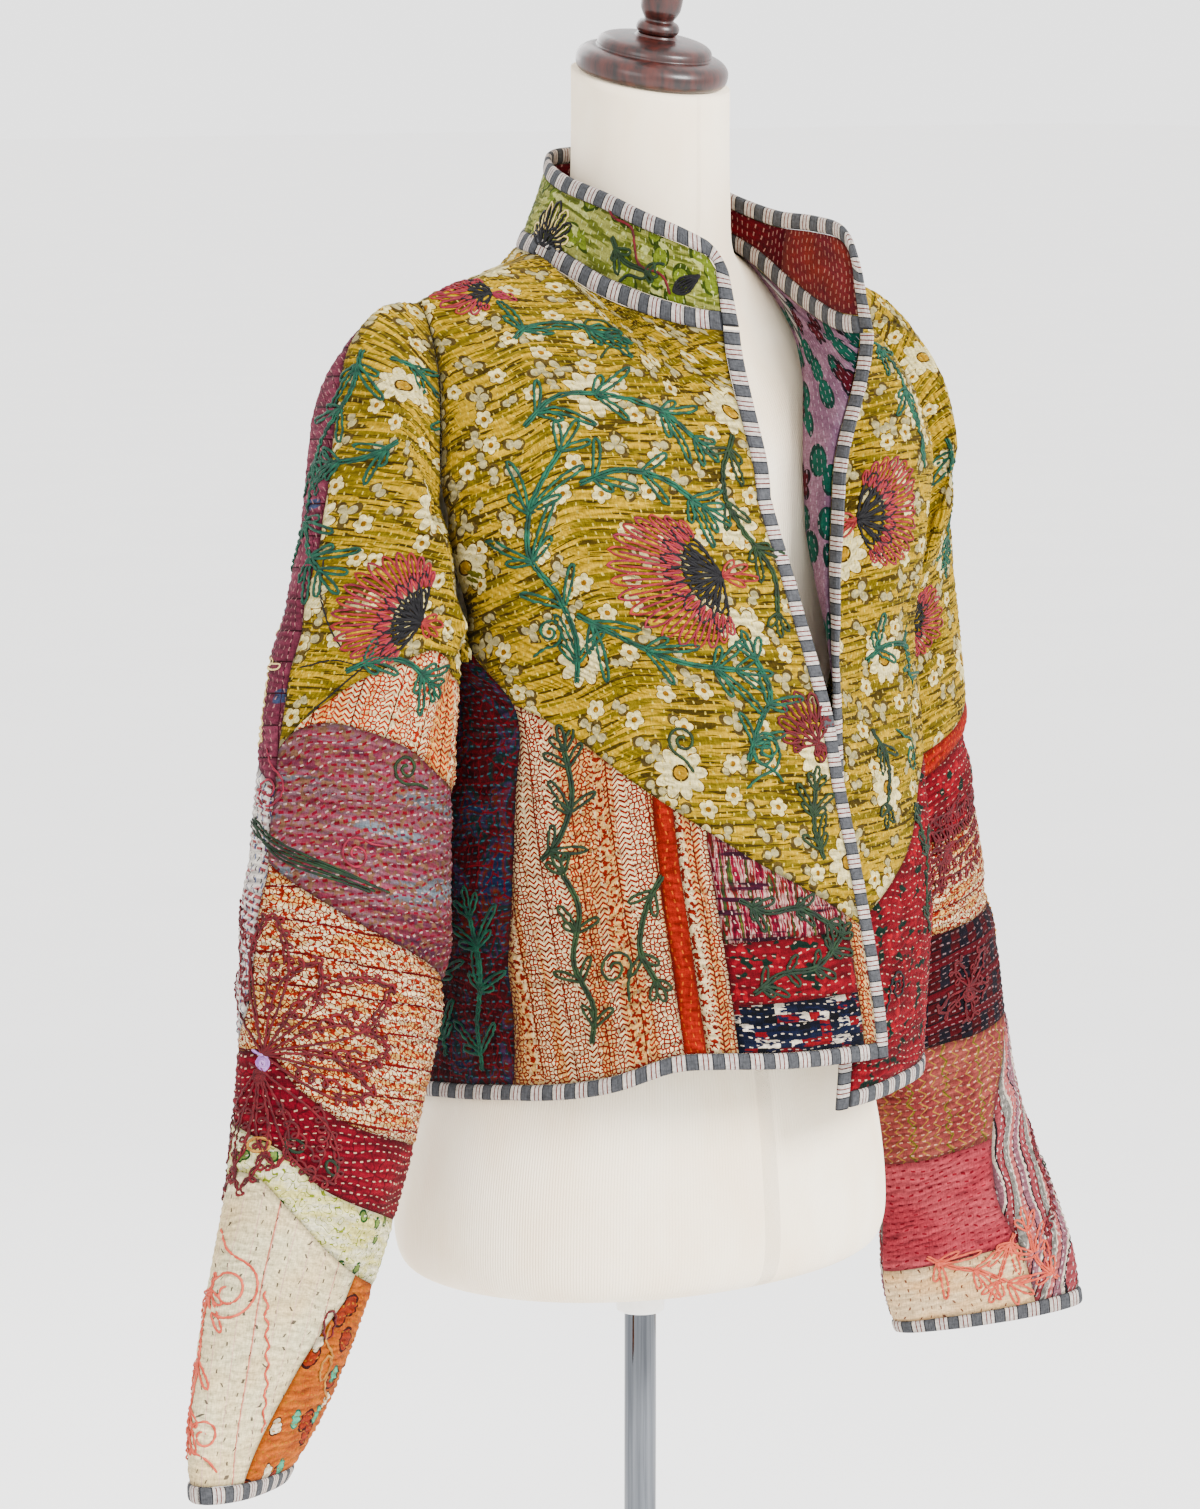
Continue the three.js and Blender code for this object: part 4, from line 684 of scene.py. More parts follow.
def tape(part, edge, within, normal, hems, closed=False, thick=CLOTH + 2 * PROUD, lift=PROUD, flip=False):
    """A folded binding: a rounded flat section, a superellipse between its edge and its inner line, carried
    along the path, with slight puckers where it is stitched."""
    angle = 2 * math.pi * np.arange(TAPE_ROUND) / TAPE_ROUND
    c, s = np.cos(angle), np.sin(angle)
    across = 0.5 - 0.5 * np.sign(c) * np.abs(c) ** BLUNT_EDGE
    out = 0.5 * thick * np.sign(s) * np.abs(s) ** BLUNT_FACE
    middle = 0.5 * (edge + within)
    run = np.pad(np.cumsum(np.linalg.norm(np.diff(middle, axis=0), axis=1)), (1, 0))
    pucker = 1 + sum(high * noise(run / long, 0 * run, seed) for high, long, seed in TAPE_PUCKERS)
    base = waves(middle) + lift - 0.5 * thick
    ring = np.stack(np.broadcast_arrays(across[None], out[None] * pucker[:, None]), -1)
    path = edge + base[:, None] * normal
    place, quads, ids = tube(path, within - edge, normal, ring, closed)
    girth = np.arange(TAPE_ROUND) / TAPE_ROUND * 2 * (BINDING + thick)
    uv = np.stack(np.broadcast_arrays(run[:, None], girth[None]), -1).reshape(-1, 2)
    faces = [quads]
    if closed:
        shared = ids[0]
        link = np.stack([ids[-1], np.roll(ids[-1], -1), np.roll(shared, -1), shared], -1)
        faces = [np.concatenate([quads[:-TAPE_ROUND], link])]
    else:
        for row, turn in ((ids[0], 1), (ids[-1], -1)):
            hub = len(place)
            place = np.concatenate([place, place[row].mean(0)[None]])
            uv = np.concatenate([uv, uv[row].mean(0)[None]])
            fan = np.stack([np.full(TAPE_ROUND, hub), np.roll(row, -1), row], -1)
            faces.append(fan[:, ::turn])
    if flip:
        faces = [f[:, ::-1] for f in faces]
    piece = put_mesh(part + "_tape", place, faces, uv, [MATERIAL["binding"]])
    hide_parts(part)
    CUTS[hems + "_cloth"][-1].append(piece)


# ---- materials
SUNK = 0.8  # how much of a running stitch's own colour shows, as it sinks into the quilted cloth


def linear(colour):
    """An sRGB hex colour as linear red, green and blue, and alpha."""
    shares = (int(colour[i : i + 2], 16) / 255 for i in (0, 2, 4))
    return (*(c / 12.92 if c <= 0.04045 else ((c + 0.055) / 1.055) ** 2.4 for c in shares), 1.0)


def node(tree, kind, *inputs, out=0, stops=None, named=None, **settings):
    """Adds one node of a kind, with its operation after a dot: its settings, its inputs in order (None leaves
    one alone), those given by name, and a ramp's stops. A hex colour is turned to linear. Gives the chosen
    output."""
    kind, _, operation = kind.partition(".")
    made = tree.nodes.new("ShaderNode" + kind)
    if operation:
        made.operation = operation
    for key, value in settings.items():
        setattr(made, key, value)
    pairs = list(zip(made.inputs, inputs))
    for socket, value in pairs + [(made.inputs[key], value) for key, value in (named or {}).items()]:
        if isinstance(value, bpy.types.NodeSocket):
            tree.links.new(value, socket)
        elif value is not None:
            socket.default_value = linear(value) if isinstance(value, str) else value
    for number, (at, colour) in enumerate(stops or ()):
        elements = made.color_ramp.elements
        element = elements[number] if number < 2 else elements.new(at)
        element.position, element.color = at, linear(colour)
    return made.outputs[out]


# Patterns, each worked in millimetres on the flat cloth. The first inputs are sizes, and seed only shifts.
def streaks(tree, mm, wide, tall, low, high, seed=0.0, turn=0.0):
    """Noise stretched to wide by tall millimetres, 0 below low and 1 above high."""
    place = node(tree, "Mapping", mm, (seed * 7.3, seed * 3.1, 0), (0, 0, turn), (1 / wide, 1 / tall, 1))
    cloud = node(tree, "TexNoise", place, noise_dimensions="2D",
                 named={"Scale": 1, "Detail": 2, "Roughness": 0.55})
    return node(tree, "MapRange", cloud, low, high)


def stripes(tree, mm, axis, period, share, bend=0.0, wave=3.0):
    """1 inside stripes across one axis, for a share of each period. bend shifts them in a zigzag of that
    reach as the other axis runs on by wave."""
    x = node(tree, "SeparateXYZ", mm)
    zigzag = node(tree, "Math.PINGPONG", x.node.outputs[1 - axis], wave)
    zigzag = node(tree, "Math.MULTIPLY", zigzag, bend / wave)
    place = node(tree, "Math.ADD", x.node.outputs[axis], zigzag)
    part = node(tree, "Math.FRACT", node(tree, "Math.MULTIPLY", place, 1 / period))
    return node(tree, "Math.LESS_THAN", part, share)


def loops(tree, mm, cell, line, seed=0.0):
    """1 on the lines of a net of small uneven cells, as fine looped figures woven into the cloth."""
    place = node(tree, "Mapping", mm, (seed, seed, 0), None, (1 / cell, 1 / cell, 1))
    edge = node(tree, "TexVoronoi", place, voronoi_dimensions="2D", feature="DISTANCE_TO_EDGE",
                named={"Scale": 1, "Randomness": 0.9})
    return node(tree, "Math.LESS_THAN", edge, line / cell)


def running(tree, mm, row, pitch, wide, dash, turn=0.0, seed=0.0):
    """Rows of running stitches, row millimetres apart and swaying a little. A row starts at its own chance.
    The thread shows within half its width of the row's line, for the dash's share of each pitch, and the
    cloth around it dims it."""
    place = node(tree, "Mapping", mm, (seed, seed, 0), (0, 0, turn))
    slow = node(tree, "VectorMath.MULTIPLY", place, (0.045, 0.045, 0))
    sway = node(tree, "TexNoise", slow, noise_dimensions="2D", named={"Scale": 1, "Detail": 0})
    x = node(tree, "SeparateXYZ", place)
    across = node(tree, "Math.MULTIPLY", x, 1 / row)
    across = node(tree, "Math.MULTIPLY_ADD", sway, 1.6, across)
    near = node(tree, "Math.PINGPONG", across, 0.5)
    chance = node(tree, "TexWhiteNoise", named={"W": node(tree, "Math.ROUND", across)},
                  noise_dimensions="1D")
    start = node(tree, "Math.MULTIPLY", chance, 3.0)
    run = node(tree, "Math.MULTIPLY_ADD", x.node.outputs[1], 1 / pitch, start)
    lit = node(tree, "Math.LESS_THAN", node(tree, "Math.FRACT", run), dash / pitch)
    narrow = node(tree, "Math.LESS_THAN", near, 0.5 * wide / row)
    return node(tree, "Math.MULTIPLY", node(tree, "Math.MULTIPLY", lit, narrow), SUNK)


def blossoms(tree, mm, cell, radius, petals, cut, keep, seed):
    """Printed flowers or leaves, one to a cell of a jittered lattice and each turned by chance. At an
    angle the outline lies at 1 - cut + cut |cos(petals angle / 2)| of the radius. Gives how deep inside
    the outline a place lies, from 0 at it to 1 in the middle, and its distance as a share of the radius."""
    place = node(tree, "Mapping", mm, (seed, 0.37 * seed, 0), None, (1 / cell, 1 / cell, 1))
    spot = node(tree, "TexVoronoi", place, out="Position", voronoi_dimensions="2D",
                named={"Scale": 1, "Randomness": 0.85})
    chance = node(tree, "SeparateColor", spot.node.outputs["Color"])
    offset = node(tree, "VectorMath.SUBTRACT", place, spot)
    x = node(tree, "SeparateXYZ", offset)
    angle = node(tree, "Math.ARCTAN2", x.node.outputs[1], x)
    turned = node(tree, "Math.MULTIPLY", chance, 7.0)
    turned = node(tree, "Math.MULTIPLY_ADD", angle, petals / 2, turned)
    lobes = node(tree, "Math.ABSOLUTE", node(tree, "Math.COSINE", turned))
    edge = node(tree, "Math.MULTIPLY_ADD", lobes, cut, 1 - cut)
    length = node(tree, "VectorMath.LENGTH", offset, out="Value")
    share = node(tree, "Math.MULTIPLY", length, cell / radius)
    kept = node(tree, "Math.LESS_THAN", chance.node.outputs[1], keep)
    gate = node(tree, "Math.MULTIPLY_ADD", kept, 9.0, -8.0)
    inside = node(tree, "Math.SUBTRACT", gate, node(tree, "Math.DIVIDE", share, edge))
    left_out = node(tree, "Math.LESS_THAN", kept, 0.5)
    return inside, node(tree, "Math.ADD", share, left_out)


def printed(tree, mm, ground, shape, line, fill, edge, *hearts):
    """Blossoms printed over the ground: an outline, the fill past the edge's width, and then each heart, a
    share of the radius and its colour."""
    inside, share = blossoms(tree, mm, *shape)
    ground = node(tree, "MixRGB", node(tree, "Math.GREATER_THAN", inside, 0.0), ground, line)
    ground = node(tree, "MixRGB", node(tree, "Math.GREATER_THAN", inside, edge), ground, fill)
    for reach, colour in hearts:
        ground = node(tree, "MixRGB", node(tree, "Math.LESS_THAN", share, reach), ground, colour)
    return ground


def figures(tree, mm):
    """1 on upright bands of small zigzags, scrolls and dots, woven in."""
    zigzag, scrolls = stripes(tree, mm, 1, 3.2, 0.46, 2.6, 3.1), streaks(tree, mm, 3.2, 3.0, 0.5, 0.53, 8)
    figure = node(tree, "MixRGB", streaks(tree, mm, 12, 600, 0.49, 0.51, 4), zigzag, scrolls)
    dots = loops(tree, mm, 2.7, 0.46)
    return node(tree, "MixRGB", streaks(tree, mm, 19, 600, 0.54, 0.55, 7), figure, dots)


def contours(tree, mm, size, wide):
    """1 on wandering lines, where five times a noise of that size in millimetres is near a whole number."""
    place = node(tree, "Mapping", mm, None, None, (1 / size, 1 / size, 1))
    cloud = node(tree, "TexNoise", place, noise_dimensions="2D", named={"Scale": 1, "Detail": 1})
    bent = node(tree, "Math.PINGPONG", node(tree, "Math.MULTIPLY", cloud, 5.0), 0.5)
    return node(tree, "Math.LESS_THAN", bent, wide)


def worn_dashes(tree, mm):
    """Thick dashes that show in some places only."""
    dashes = running(tree, mm, 4.2, 7.0, 2.0, 5.4, 1.4)
    return node(tree, "Math.MULTIPLY", dashes, streaks(tree, mm, 60, 34, 0.48, 0.52, 3))


def sharp(ramp):
    """A ramp whose colours don't blend."""
    ramp.node.color_ramp.interpolation = "CONSTANT"
    return ramp


def run_dyes(tree, mm, wide, tall, stops, turn=0.0, **noise):
    """Dyes that run into each other: noise of wide by tall millimetres, read through a row of colours."""
    place = node(tree, "Mapping", mm, None, (0, 0, turn), (1 / wide, 1 / tall, 1))
    cloud = node(tree, "TexNoise", place, noise_dimensions="2D", named={"Scale": 1, "Detail": 2, **noise})
    return node(tree, "ValToRGB", cloud, stops=stops)


def plaid_dyes(tree, mm):
    return run_dyes(tree, mm, 3.4, 34, [
        (0.28, "5E1E30"), (0.78, "7E8448"), (0.4, "9C4258"), (0.47, "D8C2B8"), (0.53, "94323E"),
        (0.64, "3A5038")])


def dark_dyes(tree, mm):
    return run_dyes(tree, mm, 40, 52, [
        (0.3, "3C121C"), (0.7, "323C56"), (0.42, "66202A"), (0.5, "1A3E3A"), (0.56, "544060"),
        (0.63, "744024")], Scale=2.2, Distortion=0.8)


def mauve_dyes(tree, mm):
    return run_dyes(tree, mm, 150, 17, [
        (0.3, "6A4856"), (0.7, "8C969C"), (0.4, "925662"), (0.47, "8C747A"), (0.53, "985C6A"),
        (0.6, "7C7E84")], 0.36, Detail=3)


def blocks(tree, mm):
    """Square cells of uneven size, each in one of five colours."""
    place = node(tree, "Mapping", mm, None, None, (1 / 7.5, 1 / 5, 1))
    cells = node(tree, "TexVoronoi", place, out="Color", voronoi_dimensions="2D", distance="CHEBYCHEV",
                 named={"Scale": 1, "Randomness": 0.25})
    return sharp(node(tree, "ValToRGB", node(tree, "SeparateColor", cells), stops=[
        (0.0, "1C2132"), (0.8, "8E2230"), (0.38, "E2D8CA"), (0.48, "1A1A20"), (0.6, "282E42")]))


def swaying_stripes(tree, mm):
    """Lengthwise stripes, 31 mm to a repeat, that sway by some 34 mm of noise."""
    slow = node(tree, "VectorMath.MULTIPLY", mm, (0.02, 0.016, 0))
    sway = node(tree, "TexNoise", slow, noise_dimensions="2D", named={"Scale": 1, "Detail": 1})
    x = node(tree, "Math.MULTIPLY_ADD", sway, 34.0, node(tree, "SeparateXYZ", mm))
    part = node(tree, "Math.FRACT", node(tree, "Math.MULTIPLY", x, 1 / 31))
    return sharp(node(tree, "ValToRGB", part, stops=[
        (0.0, "A8828A"), (0.93, "F0E2D4"), (0.2, "2A2430"), (0.24, "CC8E8C"), (0.42, "F0E2D4"),
        (0.47, "9A9690"), (0.66, "7A2A34"), (0.7, "B07074"), (0.88, "332B30")]))


def ticking(tree, mm):
    """Bias-cut ticking: slate blocks edged dark, and white ones with two thin brown-red lines, 15.6 mm to a
    repeat. Its worn threads are the relief."""
    part = node(tree, "Math.MULTIPLY", node(tree, "SeparateXYZ", mm), 1 / 15.6)
    ramp = sharp(node(tree, "ValToRGB", node(tree, "Math.FRACT", part), stops=[
        (0.0, "45464A"), (0.93, "F2EAE0"), (0.05, "76777A"), (0.44, "45464A"), (0.49, "EFE8E2"),
        (0.62, "8A4A44"), (0.665, "EFE8E2"), (0.8, "8A4A44"), (0.845, "EFE8E2")]))
    worn = streaks(tree, mm, 7, 5, 0.3, 0.8)
    return node(tree, "MixRGB", 0.12, ramp, worn, blend_type="MULTIPLY"), streaks(tree, mm, 3, 14, 0.3, 0.7)


def painted(tree, mm, ground, layers, stitches):
    """A cloth's colour, from its ground up through its layers to its running stitches, and where these lie.
    A layer is a pattern with its inputs and colour, and the stitches are a colour and running's inputs."""
    if callable(ground):
        ground = ground(tree, mm)
    for pattern, *inputs in layers:
        if pattern is printed:
            ground = printed(tree, mm, ground, *inputs)
        else:
            ground = node(tree, "MixRGB", pattern(tree, mm, *inputs[:-1]), ground, inputs[-1])
    colour, *rows = stitches
    thread = running(tree, mm, *rows)
    return node(tree, "MixRGB", thread, ground, colour), thread


def brocade(cream, rust, gold):
    """Rust figures and thin upright lines on cream, with gold streaks under them."""
    layers = [(streaks, 15, 400, 0.45, 0.55, gold), (figures, rust), (stripes, 0, 23, 0.04, "7E2E1A")]
    return cream, layers, ("F4E4C2", 6.2, 5.2, 0.8, 2.2)


def lining(shade, other_shade, colour):
    """A plain cotton in two near shades, under rows of stitches of one colour."""
    return shade, [(streaks, 34, 20, 0.35, 0.65, other_shade)], (colour, 5.6, 5.4, 0.95, 2.8)


CLOTHS = {}
# Cotton printed with wood blocks and washed soft: flat colours with worn edges that sink into the weave.
CLOTHS["block_printed_cotton"] = {
    # Mustard: dark dry-brush streaks, grey leaves, small cream flowers and daisies.
    "mustard": ("CAA90C", [
        (streaks, 60, 4.4, 0.49, 0.54, "8C7A0A"), (streaks, 30, 2.8, 0.57, 0.61, 3, "5C4C06"),
        (printed, (13, 7.0, 2, 0.88, 0.26, 3.3), "6A5C3C", "C2B894", 0.3),
        (printed, (24, 9.5, 3, 0.86, 0.3, 9.1), "6A5C3C", "C2B894", 0.3),
        (printed, (23, 6.4, 5, 0.32, 0.6, 6.2), "7A5C1E", "F2E6B6", 0.1, (0.27, "A87C14")),
        (printed, (72, 17, 9, 0.36, 0.72, 1.7), "7A5C1E", "F4E8BC", 0.06, (0.3, "5F470E"),
         (0.23, "C29A16")),
    ], ("E4D28A", 5.4, 5.0, 0.9, 2.0)),
    # Thin yellow-green print: wandering olive lines, leaf outlines and small dark ovals.
    "print": ("EFE7AC", [
        (streaks, 26, 10, 0.4, 0.6, "FBF5D8"), (contours, 9, 0.07, "97A050"),
        (printed, (15, 4.2, 2, 0.3, 0.5, 5.0), "38603A", "8FA068", 0.35),
    ], ("F7F3E2", 6.0, 5.0, 0.8, 2.2, 1.6)),
    # Ochre with brown-red ovals, and smaller mint and white ones.
    "ochre": ("D2802C", [
        (streaks, 20, 12, 0.35, 0.65, "BE6A22"),
        (printed, (27, 9.0, 2, 0.22, 0.75, 2.0), "4A1E16", "A8481E", 0.2),
        (printed, (30, 6.5, 2, 0.3, 0.5, 7.0), "3F7A66", "79C2A6", 0.18),
        (printed, (41, 6.5, 3, 0.25, 0.5, 12.0), "5A3A22", "F2E6CE", 0.15),
    ], ("C99A5A", 6.0, 5.0, 0.9, 2.4, 1.5)),
    # Lime green with olive streaks, long leaves and paler blots.
    "lime": ("B6B67A", [
        (streaks, 24, 3.4, 0.45, 0.56, 0, 0.7, "787E44"),
        (printed, (25, 15, 2, 0.88, 0.7, 4.0), "4E5C2C", "8C9850", 0.24),
        (streaks, 16, 9, 0.63, 0.65, 4, "CED096"),
    ], ("DCE2AE", 6.4, 5.0, 0.8, 2.2)),
    # Dusty lilac with long teal leaves and darker flowers.
    "lilac": ("B193A4", [
        (streaks, 26, 34, 0.4, 0.62, "9C7E92"),
        (printed, (34, 19, 2, 0.86, 0.85, 2.0), "17514A", "1F7263", 0.2),
        (printed, (47, 13, 5, 0.4, 0.4, 8.0), "2A1B2B", "6E2438", 0.25),
    ], ("D8C6D2", 6.4, 5.0, 0.8, 2.4)),
    # Navy with brushed white, red and black blocks in uneven rows, stitched close.
    "check": (blocks, [(streaks, 9, 2.2, 0.55, 0.6, 2, "262C46")], ("E8DCCC", 5.2, 5.2, 0.75, 2.2, 1.5)),
}
# Brocade woven from cotton and dull gold thread: small figures that break up into single threads.
CLOTHS["woven_brocade"] = {
    # Terracotta figures on cream and gold, and a lighter one in cream and orange.
    "brocade": brocade("F6E4C0", "94443A", "E0BC8C"), "wedge": brocade("FBEBC4", "B44A34", "F0C48E"),
    # Rust scrolls between dark red lines that cross the arm.
    "looped": ("FAEAC6", [
        (streaks, 40, 9, 0.42, 0.6, "E6C48E"), (streaks, 3.4, 2.8, 0.53, 0.56, 8, "A0402A"),
        (loops, 3.3, 0.34, "923428"), (stripes, 1, 19, 0.07, 2.0, 40, "7E1E26"),
    ], ("FBF1DC", 6.0, 4.6, 0.8, 2.4, 1.45)),
}
# Plain-woven cotton dyed in the piece and hand-quilted: soft tones that have faded unevenly.
CLOTHS["hand_quilted_cotton"] = {
    # Madder red worn to rose, with green-black blots and close rows of white stitches.
    "red": ("983040", [
        (streaks, 30, 18, 0.35, 0.65, "7A2432"), (streaks, 14, 9, 0.6, 0.64, 2, "1F3A30"),
        (streaks, 11, 16, 0.63, 0.66, 6, "AC4450"),
    ], ("E2C6B4", 5.2, 6.0, 0.75, 2.3, 1.48)),
    # Deep crimson with a faint net of darker lines.
    "crimson": ("94203A", [
        (streaks, 34, 12, 0.35, 0.65, "781830"), (loops, 11, 0.5, 4.0, "6E1028"),
    ], ("F0DCC4", 5.0, 5.4, 0.8, 2.2, 1.62)),
    # Deep side panels: blots of maroon, bottle green, brown and violet under red and blue stitches.
    "dark": (dark_dyes, [
        (loops, 13, 0.55, "7A2430"), (running, 5.2, 6, 1.0, 3.0, 0.1, "7C3642"),
    ], ("4E7C84", 5.0, 5.0, 0.9, 2.4, 1.5, 4.0)),
    # Faded mauve and rose bands that slope across the arm, under rows of white and of red stitches.
    "mauve": (mauve_dyes, [
        (streaks, 5, 5, 0.5, 0.6, 3, "8A6E5E"), (running, 5.6, 5.6, 1.5, 3.2, 1.93, "8E2440"),
    ], ("D6BEBA", 6.4, 5.0, 0.9, 2.2, 1.9, 2.6)),
    # Fine off-white with faint coral pinstripes and widely spaced rows of black stitches.
    "cream": ("FFF6D6", [
        (streaks, 50, 40, 0.35, 0.7, "FCE9C4"), (stripes, 0, 47, 0.02, "E3A796"),
        (stripes, 0, 11.5, 0.05, "F3D8C6"),
    ], ("3E343A", 12.5, 8.0, 1.0, 2.4)),
    # Warm cream with rows of dark red stitches.
    "cream_left": ("FBE4C4", [(streaks, 40, 16, 0.35, 0.7, "F6D2A8")], ("6A2A30", 8.0, 8.0, 1.0, 2.6)),
    # Plum rose with a thin dark check and a few slate blocks.
    "plum": ("96606E", [
        (streaks, 40, 26, 0.35, 0.65, "824E5C"), (streaks, 60, 24, 0.66, 0.68, 2, "59617A"),
        (stripes, 0, 15, 0.05, "4E1C2C"), (stripes, 1, 19, 0.05, "4E1C2C"),
    ], ("CDA6A2", 6.0, 5.0, 0.9, 2.4)),
    # White under brick-red, black and blue dashes.
    "dashed": ("F2ECE4", [
        (streaks, 26, 40, 0.4, 0.6, "E2DAD6"), (worn_dashes, "A03440"),
        (running, 7.6, 6.0, 1.2, 3.4, 0.05, 3.0, "3E5A8C"),
    ], ("23222C", 5.6, 5.4, 1.0, 2.8)),
    # Orange red, streaked along its length where the dye has faded.
    "orange": ("B43820", [(streaks, 5, 40, 0.35, 0.65, "9C2C1A")], ("E08A58", 5.0, 5.0, 0.8, 2.2)),
    # Coral rose worked all over with tan and olive zigzag lines that run down the arm.
    "coral": ("A8706A", [
        (streaks, 30, 30, 0.35, 0.65, "985C5C"), (stripes, 0, 8.5, 0.15, 5.0, 4.5, "B49464"),
        (stripes, 0, 25.5, 0.05, 5.0, 6.5, "7C7A3E"),
    ], ("EFC9B4", 6.0, 5.0, 0.8, 2.2, 1.57)),
    # Pink that deepens to coral in broad bands, with rows of dark red dashes.
    "pink": ("C6787E", [(streaks, 90, 34, 0.4, 0.6, "B4646C")], ("861C36", 5.4, 6.4, 1.1, 2.8, 1.57)),
    # Linings in two near shades.
    "maroon": lining("7C1E30", "66162A", "D8B4AC"), "rose": lining("90504C", "7E444A", "D4AC9E"),
    "backing": lining("A8923C", "7E7A3A", "E6DDB4"),
}
# Cotton woven from dyed yarn: checks and stripes that follow the threads, sharp along them.
CLOTHS["yarn_dyed_cotton"] = {
    # Maroon and navy check with grey stitched bars.
    "dark_check": ("5C1C26", [
        (stripes, 0, 17, 0.5, "28232E"), (stripes, 1, 21, 0.3, "6A2833"), (stripes, 1, 7, 0.14, "2C1620"),
    ], ("A08C8C", 5.0, 5.6, 0.9, 2.8, 1.55)),
    # Mauve, rose and grey stripes between white and black lines.
    "striped": (swaying_stripes, [], ("F0E8E4", 5.4, 5.0, 0.9, 2.4)),
    # Tied-and-dyed warp: blurred upright stripes of maroon, mauve, white and green, under dark bars.
    "plaid": (plaid_dyes, [(streaks, 60, 5, 0.6, 0.7, 8, "4A2638")], ("EAD4C8", 5.2, 5.4, 0.8, 2.0)),
    "binding": ticking,
}

MATERIAL = {}
DYE, DEPTH = 1.2, 1.3  # how much stronger and deeper than their hex values dyed cotton and thread look
MATTE = 0.07  # washed cotton has hardly a gleam
COTTON_ROUGHNESS, COTTON_SHEEN = 0.9, 0.01
# The darkest and lightest tone that the weave's threads, broad wear, and the ribs' painted shade and painted
# light give the cloth.
THREAD_TONES, WEAR_TONES, RIB_PAINTED_SHADE_TONES = (0.34, 0.86), (0.86, 1.08), (0.46, 1.14)
RIB_DIP, RIB_TOP = -0.65, 0.6  # how far below and above the even cloth those ribs' tones are reached
STITCH_HEIGHT, CLOTH_RELIEF = 1.6, 0.28  # a stitch's height in threads, and the relief in millimetres


def finish(shader, tree, height, depth_mm, roughness, sheen=0.0, gloss=0.2):
    """Fills what is the same all over the surface on the shader itself, and its relief through one bump."""
    bump = node(tree, "Bump", out="Normal",
                named={"Strength": 0.9, "Distance": depth_mm / 1000, "Height": height})
    tree.links.new(bump, shader.inputs["Normal"])
    shader.inputs["Roughness"].default_value = roughness
    shader.inputs["Sheen Weight"].default_value = sheen
    shader.inputs["Sheen Roughness"].default_value = 0.5
    shader.inputs["Specular IOR Level"].default_value = gloss


def new_material(name):
    """An empty material of that name, its node tree and its shader."""
    material = bpy.data.materials.new(name)
    material.use_nodes = True
    return material, material.node_tree, material.node_tree.nodes["Principled BSDF"]


def cloth(name, making, paint):
    """Quilted hand-stitched cotton: matte, with a slubby plain weave that lightens and darkens the print,
    and stitches that stand a little proud. Painted shade darkens what lies low between two ribs or at a seam,
    and painted light brightens the ribs' tops.
    Threads are 0.35 mm apart, drawn at 1.1 mm so that they show."""
    MATERIAL[name], tree, shader = new_material(f"{making}_{name}")
    mm = node(tree, "VectorMath.MULTIPLY", node(tree, "TexCoord", out="UV"), (1000, 1000, 0))
    colour, raised = paint(tree, mm) if callable(paint) else painted(tree, mm, *paint)
    weft, warp = streaks(tree, mm, 3.4, 1.1, 0.25, 0.75, 1), streaks(tree, mm, 1.1, 4.2, 0.25, 0.75, 2)
    weave = node(tree, "Math.ADD", weft, warp)
    shade = node(tree, "MapRange", weave, 0.0, 2.0, *THREAD_TONES)
    broad = node(tree, "MapRange", streaks(tree, mm, 70, 90, 0.2, 0.8, 9), 0.0, 1.0, *WEAR_TONES)
    # Painted shade and painted light: the cloth's baked height darkens its hollows and seams and lightens its
    # rib tops.
    dip = node(tree, "Attribute", out="Fac", attribute_name="dip")
    dip = node(tree, "MapRange", dip, RIB_DIP, RIB_TOP, *RIB_PAINTED_SHADE_TONES)
    shade = node(tree, "Math.MULTIPLY", node(tree, "Math.MULTIPLY", shade, broad), dip)
    dyed = node(tree, "Gamma", node(tree, "HueSaturation", named={"Saturation": DYE, "Color": colour}), DEPTH)
    tone = node(tree, "VectorMath.MULTIPLY", dyed, node(tree, "CombineXYZ", shade, shade, shade))
    tree.links.new(tone, shader.inputs["Base Color"])
    height = node(tree, "Math.MULTIPLY_ADD", raised, STITCH_HEIGHT, weave)
    finish(shader, tree, height, CLOTH_RELIEF, COTTON_ROUGHNESS, COTTON_SHEEN, MATTE)


for making, paints in CLOTHS.items():
    for name, paint in paints.items():
        cloth(name, making, paint)


def made_of(name, colours, scale, stretch, roughness, relief, metallic=0.0, coat=0.0):
    """A hard or knitted surface on Object coordinates: two near tones in noise of the given size in
    millimetres, stretched along each axis, and a relief of the same noise."""
    MATERIAL[name], tree, shader = new_material(name)
    place = node(tree, "Mapping", node(tree, "TexCoord", out="Object"), None, None,
                 tuple(1000 / scale / s for s in stretch))
    cloud = node(tree, "TexNoise", place, named={"Scale": 1, "Detail": 3, "Roughness": 0.6})
    tone = node(tree, "MixRGB", node(tree, "MapRange", cloud, 0.35, 0.65), *colours)
    tree.links.new(tone, shader.inputs["Base Color"])
    finish(shader, tree, cloud, relief, roughness, gloss=0.4)
    shader.inputs["Metallic"].default_value = metallic
    shader.inputs["Coat Weight"].default_value = coat
    shader.inputs["Coat Roughness"].default_value = 0.12
    return tree, shader


# Mahogany, turned and lacquered: dark red-brown grain along the turning axis under a clear gloss coat.
made_of("turned_mahogany", ("120403", "3C120A"), 5, (1, 1, 7), 0.36, 0.05, coat=0.16)
# Chromed steel tube: mirror-bright, with the faintest draw lines along it.
made_of("chromed_steel", ("54575C", "6E7176"), 2, (1, 1, 60), 0.1, 0.004, metallic=1.0)
# White enamel on steel: smooth and slightly wavy, with a soft gloss.
made_of("enamelled_steel", ("EDECE8", "F4F3F0"), 9, (1, 1, 1), 0.34, 0.02)
# Matte painted board for the floor.
made_of("painted_board", ("FAF9F8", "FCFBFA"), 400, (1, 1, 1), 0.9, 0.0)
